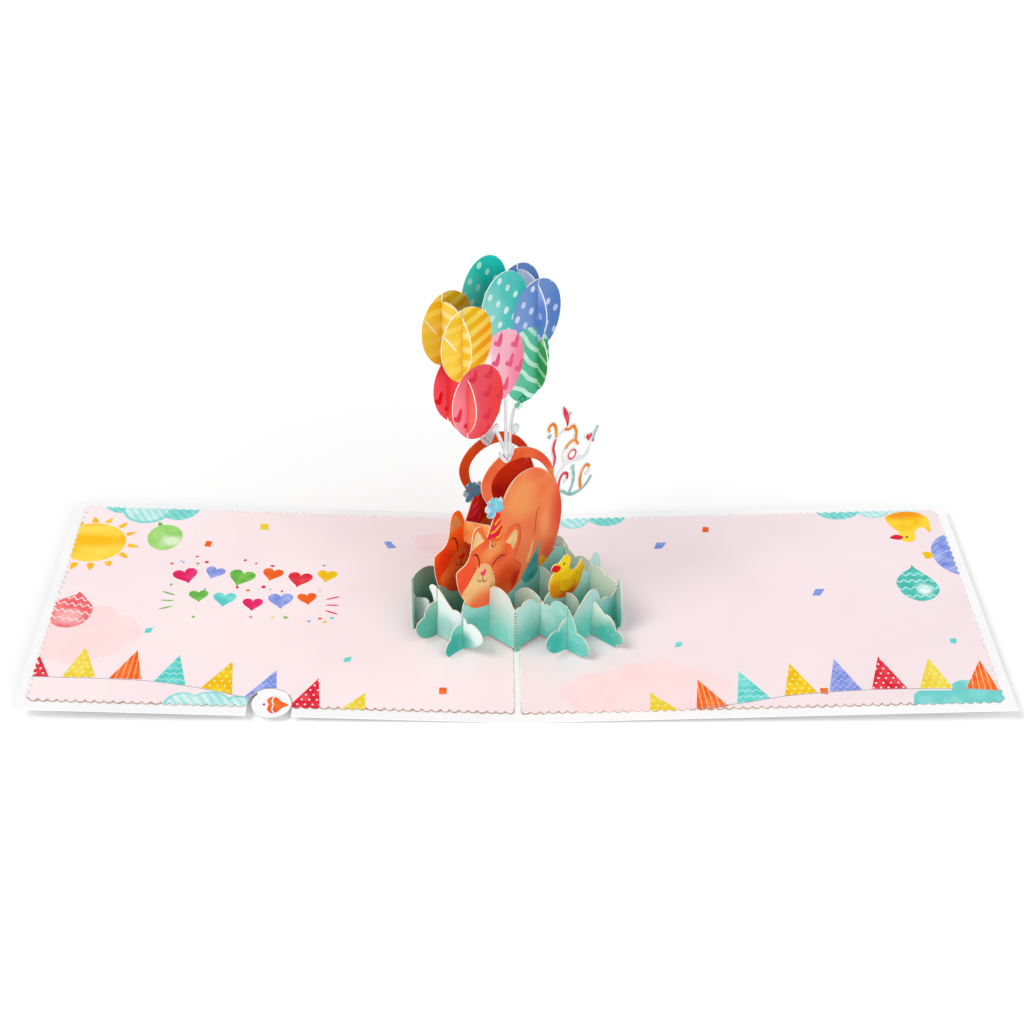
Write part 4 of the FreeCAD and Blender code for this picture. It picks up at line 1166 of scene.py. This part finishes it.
def left_sheet():
    printed = Print("scallop rim", "white card")

    def add(points, paint, within=None):
        # Places on this sheet are measured to the left of the fold
        return printed.add(mirrored(points), paint, within)

    ground(printed, "left_insert", panel(-1), POCKET, "blush left")
    puffs(add, "cloud pink", ((162, -22, 14, 14), (150, -17, 9, 7.2), (145.5, -20.6, 6.4, 5.6),
        (157, -11.4, 7, 7), (153, -28, 8, 6.6), (161, -33, 8.4, 6.4), (171, -28, 8, 9)))
    puffs(add, "cloud pink", ((35.5, 41.4, 4.6, 5.6), (30.5, 42.8, 6.2, 6.0),
        (30.8, 38.4, 5.4, 4.6)))
    # Clouds along the back edge
    puffs(add, "cloud deep", ((159.6, 61.0, 6.6, 5.6), (136.4, 60.2, 8.2, 8.4)))
    puffs(add, "cloud edge", ((149.2, 58.0, 9.6, 9.2),))
    puffs(add, "cloud pale", ((149.5, 59.4, 8.8, 9.0),))
    # Sun with drop shaped rays
    add(oval(167.2, 35.0, 12.9, 12.8), "sun yellow")
    for ray in (
        [(174.4, 49.2), (172.8, 47.6), (174.0, 46.2), (175.4, 47.2)],
        [(169.3, 52.2), (167.2, 48.8), (168.6, 48.1), (170.1, 48.6)],
        [(162.4, 52.0), (162.2, 48.9), (163.4, 48.2), (164.9, 48.9)],
        [(156.0, 49.2), (156.5, 45.6), (157.9, 45.2), (159.0, 46.6)],
        [(151.2, 42.8), (153.8, 40.0), (154.8, 40.6), (154.7, 42.1)],
        [(148.6, 32.8), (152.2, 34.9), (153.3, 34.2), (152.8, 32.4)],
        [(151.9, 25.2), (153.9, 28.9), (155.3, 28.7), (155.8, 27.0)],
        [(158.1, 19.6), (157.7, 23.0), (159.4, 23.2), (160.5, 21.8)],
        [(165.3, 16.8), (164.1, 20.6), (165.7, 21.6), (167.1, 20.6)],
        [(172.6, 16.8), (170.3, 20.6), (171.8, 21.6), (173.2, 20.8)],
    ):
        add(curve(ray, True, 3), "sun orange")
    # Balloons
    add([(141.4, 47.6), (142.1, 49.4), (143.6, 50.2), (143.4, 47.4)], "leaf print")
    add(egg(139.5, 39.7, 6.9, 8.6), "green balloon")
    red = add(curve([(166.4, 3.0), (162.8, -1.4), (160.2, -5.6), (159.9, -10.0), (162.0, -15.6),
        (166.8, -18.3), (172.0, -17.4), (176.6, -12.0), (176.4, -5.6), (171.0, -0.6),
    (167.6, 1.4)]), "coral balloon")
    for level in (-15.0, -10.4, -6.2, -2.4):
        line = [(157.6 + k * 1.5, level + (0.9 if k % 2 else -0.9) + 0.25 * k) for k in range(14)]
        add(stroke(line, 0.75, 0.7, False), "chalk rose", red)
    for paint, corners in (
        ("orange print", [(122.9, 38.3), (120.5, 38.0), (120.8, 34.2), (123.3, 34.7)]),
        ("yellow print", [(102.9, 51.1), (99.6, 51.3), (98.8, 46.8), (102.2, 46.8)]),
        ("violet print", [(52.5, 41.5), (49.6, 41.7), (47.0, 37.5), (50.4, 36.9)]),
        ("teal print", [(138.2, -17.6), (135.6, -17.0), (136.1, -20.0), (138.6, -20.2)]),
        ("teal print", [(63.2, -31.2), (60.9, -30.5), (61.2, -33.4), (63.9, -33.7)]),
        ("orange print", [(28.3, -46.4), (25.6, -46.3), (25.6, -50.0), (28.4, -50.1)]),
    ):
        add(corners, paint)
    burst(add)
    # Cloud under the string of flags
    puffs(add, "cloud edge", ((119.4, -60.6, 6.8, 7.8), (109.6, -60.4, 8.4, 8.4),
        (99.8, -62.4, 7.0, 8.6)))
    puffs(add, "cloud pale", ((119.2, -61.4, 6.2, 7.8), (109.6, -61.2, 8.0, 8.4),
        (99.4, -63.2, 6.6, 8.6)))
    flags = (
        ([(181.5, -46.6), (175.0, -32.9), (168.5, -46.3)], "red"),
        ([(164.0, -46.4), (158.3, -29.5), (151.9, -46.1)], "yellow"),
        ([(147.1, -46.4), (139.3, -30.2), (135.5, -46.4)], "orange"),
        ([(130.9, -47.2), (123.6, -32.3), (119.3, -49.0)], "teal"),
        ([(113.7, -50.1), (104.0, -35.0), (102.2, -53.2)], "gold"),
        ([(97.9, -54.5), (87.6, -39.2), (85.9, -58.6)], "violet"),
        ([(81.5, -58.6), (72.0, -43.1), (70.2, -63.0)], "red"),
        ([(64.4, -61.0), (54.8, -50.3), (54.2, -63.0)], "yellow"),
    )
    for corners, kind in flags:
        flag(printed, mirrored(corners), *FLAG_KINDS[kind])
    line = [(180.0, -46.4), (164.6, -46.5), (147.1, -46.6), (130.9, -47.4), (113.7, -50.4),
        (97.9, -54.6), (82.0, -59.6)]
    add(stroke(line, 0.35, 1.0), "string line")
    dress("left_sheet_print", "left_insert", panel(-1), printed, "scallop edge",
        sheet_level(POCKET), SHEET)


def burst(add):
    # A burst of hearts, dots and dashes in the middle of the sheet
    rng = random.Random(7)
    inks = ("rose print", "violet print", "leaf print", "orange print", "red print", "gold print",
        "teal print")
    for index, (s, z, size) in enumerate(((128.0, 15.6, 5.4), (117.0, 18.0, 4.4),
            (106.4, 15.4, 5.8), (94.6, 18.0, 4.6), (83.8, 15.4, 5.4), (73.4, 18.0, 4.4),
    (111.4, 1.6, 5.0), (100.4, -1.0, 4.4), (90.0, 1.8, 5.4), (121.4, 3.2, 4.2), (80.0, 3.4, 4.2))):
        add(heart(s, z, size, (index * 37) % 40 - 20), inks[index % len(inks)])
    for index in range(26):
        s = rng.uniform(68.0, 136.0)
        z = rng.choice((rng.uniform(22.5, 28.0), rng.uniform(-12.0, -6.0), rng.uniform(7.0, 9.6)))
        add(oval(s, z, rng.uniform(0.35, 0.95), rng.uniform(0.4, 1.0), 0, 14),
            inks[index % len(inks)])
    for side, s in ((1, 72.0), (-1, 131.0)):
        for step in (-1, 0, 1):
            start = (s + 0.5 * side, -0.5 + step * 3.4)
            end = (s - 4.2 * side, -0.5 + step * 5.4)
            paint = "red print" if side > 0 else "leaf print"
            add(stroke([start, end], 0.8, 0.6, False), paint)


def right_sheet():
    printed = Print("scallop rim", "white card")
    add = printed.add
    ground(printed, "right_insert", panel(1), GLUE, "blush right")
    puffs(add, "cloud pink", ((21.4, -48.2, 5.8, 5.6), (26.6, -44.2, 5.6, 5.8),
        (34.0, -42.4, 6.4, 6.0), (44.0, -39.8, 7.0, 7.2), (54.4, -39.6, 8.4, 8.4),
    (65.6, -43.0, 7.0, 7.0), (73.0, -46.2, 5.0, 5.2), (67.6, -51.4, 5.8, 5.2),
    (60.0, -55.0, 7.4, 5.6), (44.0, -54.0, 25.0, 12.0)))
    # Clouds along the back edge
    puffs(add, "cloud edge", ((24.6, 60.4, 6.8, 8.0), (148.2, 60.2, 6.8, 5.4)))
    puffs(add, "cloud pale", ((24.6, 61.2, 6.3, 8.0), (148.2, 60.8, 6.4, 5.4),
        (160.2, 60.4, 6.6, 3.8)))
    puffs(add, "cloud deep", ((38.2, 60.8, 8.0, 7.2), (133.6, 60.8, 8.9, 6.6),
        (171.0, 61.6, 6.4, 1.7)))
    # Duck upside down
    add(curve([(153.4, 49.0), (152.4, 54.6), (156.0, 57.4), (160.6, 58.6), (166.0, 57.6),
        (169.6, 53.0), (168.7, 43.8), (166.5, 47.4), (163.6, 46.0), (162.3, 43.4), (161.8, 39.4),
    (159.6, 37.6), (156.8, 38.2), (155.6, 40.8), (155.8, 44.6)]), "duck print")
    add(stroke([(157.0, 49.4), (160.6, 47.6), (164.6, 50.0), (164.0, 53.6), (159.6, 55.0)], 0.6),
        "sun orange")
    add(curve([(151.7, 40.6), (154.3, 42.8), (157.2, 41.4), (155.5, 39.3)]), "red print")
    add(oval(158.7, 41.0, 0.5, 0.6, 0, 12), "ink")
    # Violet balloon at the outer edge, with its bow
    violet = add(oval(176.8, 28.6, 10.5, 13.6, 4), "violet print")
    for step in range(8):
        add(stroke([(166.0, 14.6 + step * 3.6), (170.0, 18.6 + step * 3.6),
            (175.5, 21.6 + step * 3.6)], 0.34, 0.4),
            "violet deep" if step % 3 else "chalk violet", violet)
    add([(162.5, 30.6), (165.2, 31.0), (166.8, 29.3), (165.9, 26.5), (163.2, 26.2)], "gold print")
    teal = add(curve([(156.7, 22.4), (155.9, 20.4), (152.2, 17.4), (149.2, 13.0), (148.8, 9.0),
        (150.6, 3.4), (155.2, -0.3), (160.4, 0.6), (164.0, 4.6), (164.5, 9.0), (162.2, 14.2),
    (157.9, 20.2)]), "teal balloon")
    for level in (2.6, 7.6, 12.2, 16.4):
        line = [(147.0 + k * 1.6, level + (0.75 if k % 2 else -0.75)) for k in range(13)]
        add(stroke(line, 0.6, 1.0), "chalk teal", teal)
    for paint, corners in (
        ("orange print", [(77.3, 51.4), (79.8, 51.1), (79.3, 47.6), (76.8, 47.7)]),
        ("violet print", [(57.7, 41.5), (61.7, 41.4), (59.5, 37.4), (56.2, 37.1)]),
        ("violet print", [(116.8, 8.7), (120.4, 8.5), (117.9, 4.4), (114.9, 4.6)]),
        ("teal print", [(60.1, -21.4), (62.4, -21.4), (61.6, -24.1), (59.2, -24.4)]),
        ("teal print", [(162.2, -23.0), (164.6, -23.4), (163.8, -26.3), (161.6, -26.0)]),
        ("orange print", [(109.5, -49.3), (112.4, -49.4), (111.9, -52.8), (109.3, -52.3)]),
        ("red print", [(30.4, -58.6), (32.6, -59.6), (31.8, -61.0), (29.8, -60.2)]),
    ):
        add(corners, paint)
    add([(141.0, -66.0), (141.6, -58.9), (142.6, -53.8), (144.8, -52.0), (175.0, -52.6),
        (175.0, -66.0)], "cloud strip")
    add(oval(162.4, -51.6, 6.0, 4.8), "cloud strip")
    flags = (
        ([(48.1, -49.5), (46.6, -66.0), (60.0, -62.0)], "yellow"),
        ([(65.8, -43.0), (63.7, -60.0), (75.6, -57.9)], "orange"),
        ([(81.3, -38.7), (78.7, -56.5), (91.1, -54.2)], "teal"),
        ([(100.4, -35.1), (96.2, -53.0), (108.3, -51.9)], "gold"),
        ([(117.1, -33.2), (112.4, -51.8), (124.5, -50.9)], "violet"),
        ([(133.5, -32.5), (128.0, -50.6), (141.0, -51.0)], "red"),
        ([(151.8, -33.8), (145.2, -51.0), (157.4, -51.6)], "yellow"),
        ([(170.2, -36.0), (161.9, -51.5), (173.6, -53.4)], "orange"),
    )
    for corners, kind in flags:
        flag(printed, corners, *FLAG_KINDS[kind])
    line = [(56.0, -61.0), (65.4, -58.4), (78.9, -56.6), (90.9, -54.3), (96.3, -53.2),
        (108.1, -52.0), (124.3, -51.0),
            (145.4, -51.0), (162.0, -51.6), (176.0, -53.4)]
    add(stroke(line, 0.35, 1.0), "string line")
    dress("right_sheet_print", "right_insert", panel(1), printed, "scallop edge",
        sheet_level(GLUE), SHEET)


def note_tab():
    printed = Print("white card", "white card")
    bell = printed.add(mirrored(curve([(81.6, -57.8), (84.2, -56.0), (86.2, -53.9), (88.2, -53.7),
        (89.6, -55.5), (88.8, -57.9), (89.1, -60.4), (87.4, -62.4), (85.5, -61.7), (83.9, -59.5)],
        True, 4)), "orange print")
    printed.add(mirrored(stroke([(86.8, -53.0), (87.7, -55.4), (87.1, -57.9), (87.4, -60.4),
        (86.0, -62.8)], 0.45, 1.0)), "white card", bell)
    printed.add(mirrored(oval(90.4, -57.8, 0.5, 0.6, 0, 12)), "red print")
    middle = PAPER + POCKET / 2
    dress("note_tab_print", "note_tab", panel(-1), printed, "white card", middle,
        NOTE)


def carried_over():
    # CAD pieces that keep their own shape and take a paper finish
    # The left leaf takes the dark mint of painted shade, and the right leaf the shaded copy of the
    # front strip's mint
    for node, paint in (("cover", "white card"), ("left_leaf", "moss"),
            ("right_leaf", "mint right")):
        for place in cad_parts[node].material_slots:
            place.material = paints[paint]
    wash("spacer orange", (0.99, 0.70, 0.40), (0.97, 0.58, 0.28), 5.0, 0.03, 0.7)
    dress("cat_spacer_print", "cat_spacer", falling(0), Print("spacer orange"))


def floor():
    shop = Shop("studio floor", 0.9)
    shade = shop.noise(300.0, 1.0, 1.0)
    shop.feed(shop.surface.inputs["Base Color"], shop.mix(tone(1.0, 1.0, 1.0),
        tone(0.995, 0.995, 0.995), shade))
    shop.surface.inputs["Specular IOR Level"].default_value = 0.0
    reach = 6.0
    mesh = bpy.data.meshes.new("floor")
    mesh.from_pydata([(-reach, -reach, 0), (reach, -reach, 0), (reach, reach, 0),
        (-reach, reach, 0)], [], [(0, 1, 2, 3)])
    mesh.materials.append(shop.material)
    made = bpy.data.objects.new("floor", mesh)
    bpy.context.scene.collection.objects.link(made)


def studio():
    scene = bpy.context.scene
    scene.view_settings.view_transform = "Standard"
    world = bpy.data.worlds.new("studio")
    scene.world = world
    world.use_nodes = True
    nodes, links = world.node_tree.nodes, world.node_tree.links
    plain = nodes["Background"]
    plain.inputs["Color"].default_value = (1.0, 1.0, 1.0, 1.0)
    plain.inputs["Strength"].default_value = 0.50
    seen = nodes.new("ShaderNodeBackground")
    seen.inputs["Color"].default_value = (1.0, 1.0, 1.0, 1.0)
    path = nodes.new("ShaderNodeLightPath")
    mix = nodes.new("ShaderNodeMixShader")
    links.new(path.outputs["Is Camera Ray"], mix.inputs[0])
    links.new(plain.outputs[0], mix.inputs[1])
    links.new(seen.outputs[0], mix.inputs[2])
    links.new(mix.outputs[0], nodes["World Output"].inputs["Surface"])
    for name, aim, power, spread in (
        ("key", (0.62, 0.42, -1.0), 1.30, 26.0),
        ("fill", (-0.42, 0.75, -0.55), 1.20, 60.0),
    ):
        data = bpy.data.lights.new(name, "SUN")
        data.energy = power
        data.angle = math.radians(spread)
        lamp = bpy.data.objects.new(name, data)
        lamp.rotation_euler = Vector(aim).to_track_quat("-Z", "Y").to_euler()
        scene.collection.objects.link(lamp)


def camera():
    pitch, yaw, roll = 0.617812, 0.024304, 0.017563
    place = Vector((-14.802, -530.809, 424.217))
    ahead = Vector((math.sin(yaw) * math.cos(pitch), math.cos(yaw) * math.cos(pitch),
        -math.sin(pitch)))
    side = Vector((math.cos(yaw), -math.sin(yaw), 0))
    up = side.cross(ahead)
    right = side * math.cos(roll) + up * math.sin(roll)
    top = up * math.cos(roll) - side * math.sin(roll)
    data = bpy.data.cameras.new("camera")
    data.sensor_width = SENSOR_WIDTH
    data.sensor_fit = "HORIZONTAL"
    data.lens = FOCAL_PIXELS / IMAGE_WIDTH * SENSOR_WIDTH
    data.clip_start = 0.01
    made = bpy.data.objects.new("camera", data)
    turn = Matrix((right, top, -ahead)).transposed().to_4x4()
    made.matrix_world = Matrix.Translation(place * MM) @ turn
    bpy.context.scene.collection.objects.link(made)
    bpy.context.scene.camera = made


plain_papers()
print_colours()
lattice_colours()
duck_colours()
front_strip()
left_strip()
right_strip()
slats()
cats()
balloons()
streamer()
left_sheet()
right_sheet()
note_tab()
carried_over()
floor()
studio()
camera()

bpy.context.view_layer.update()
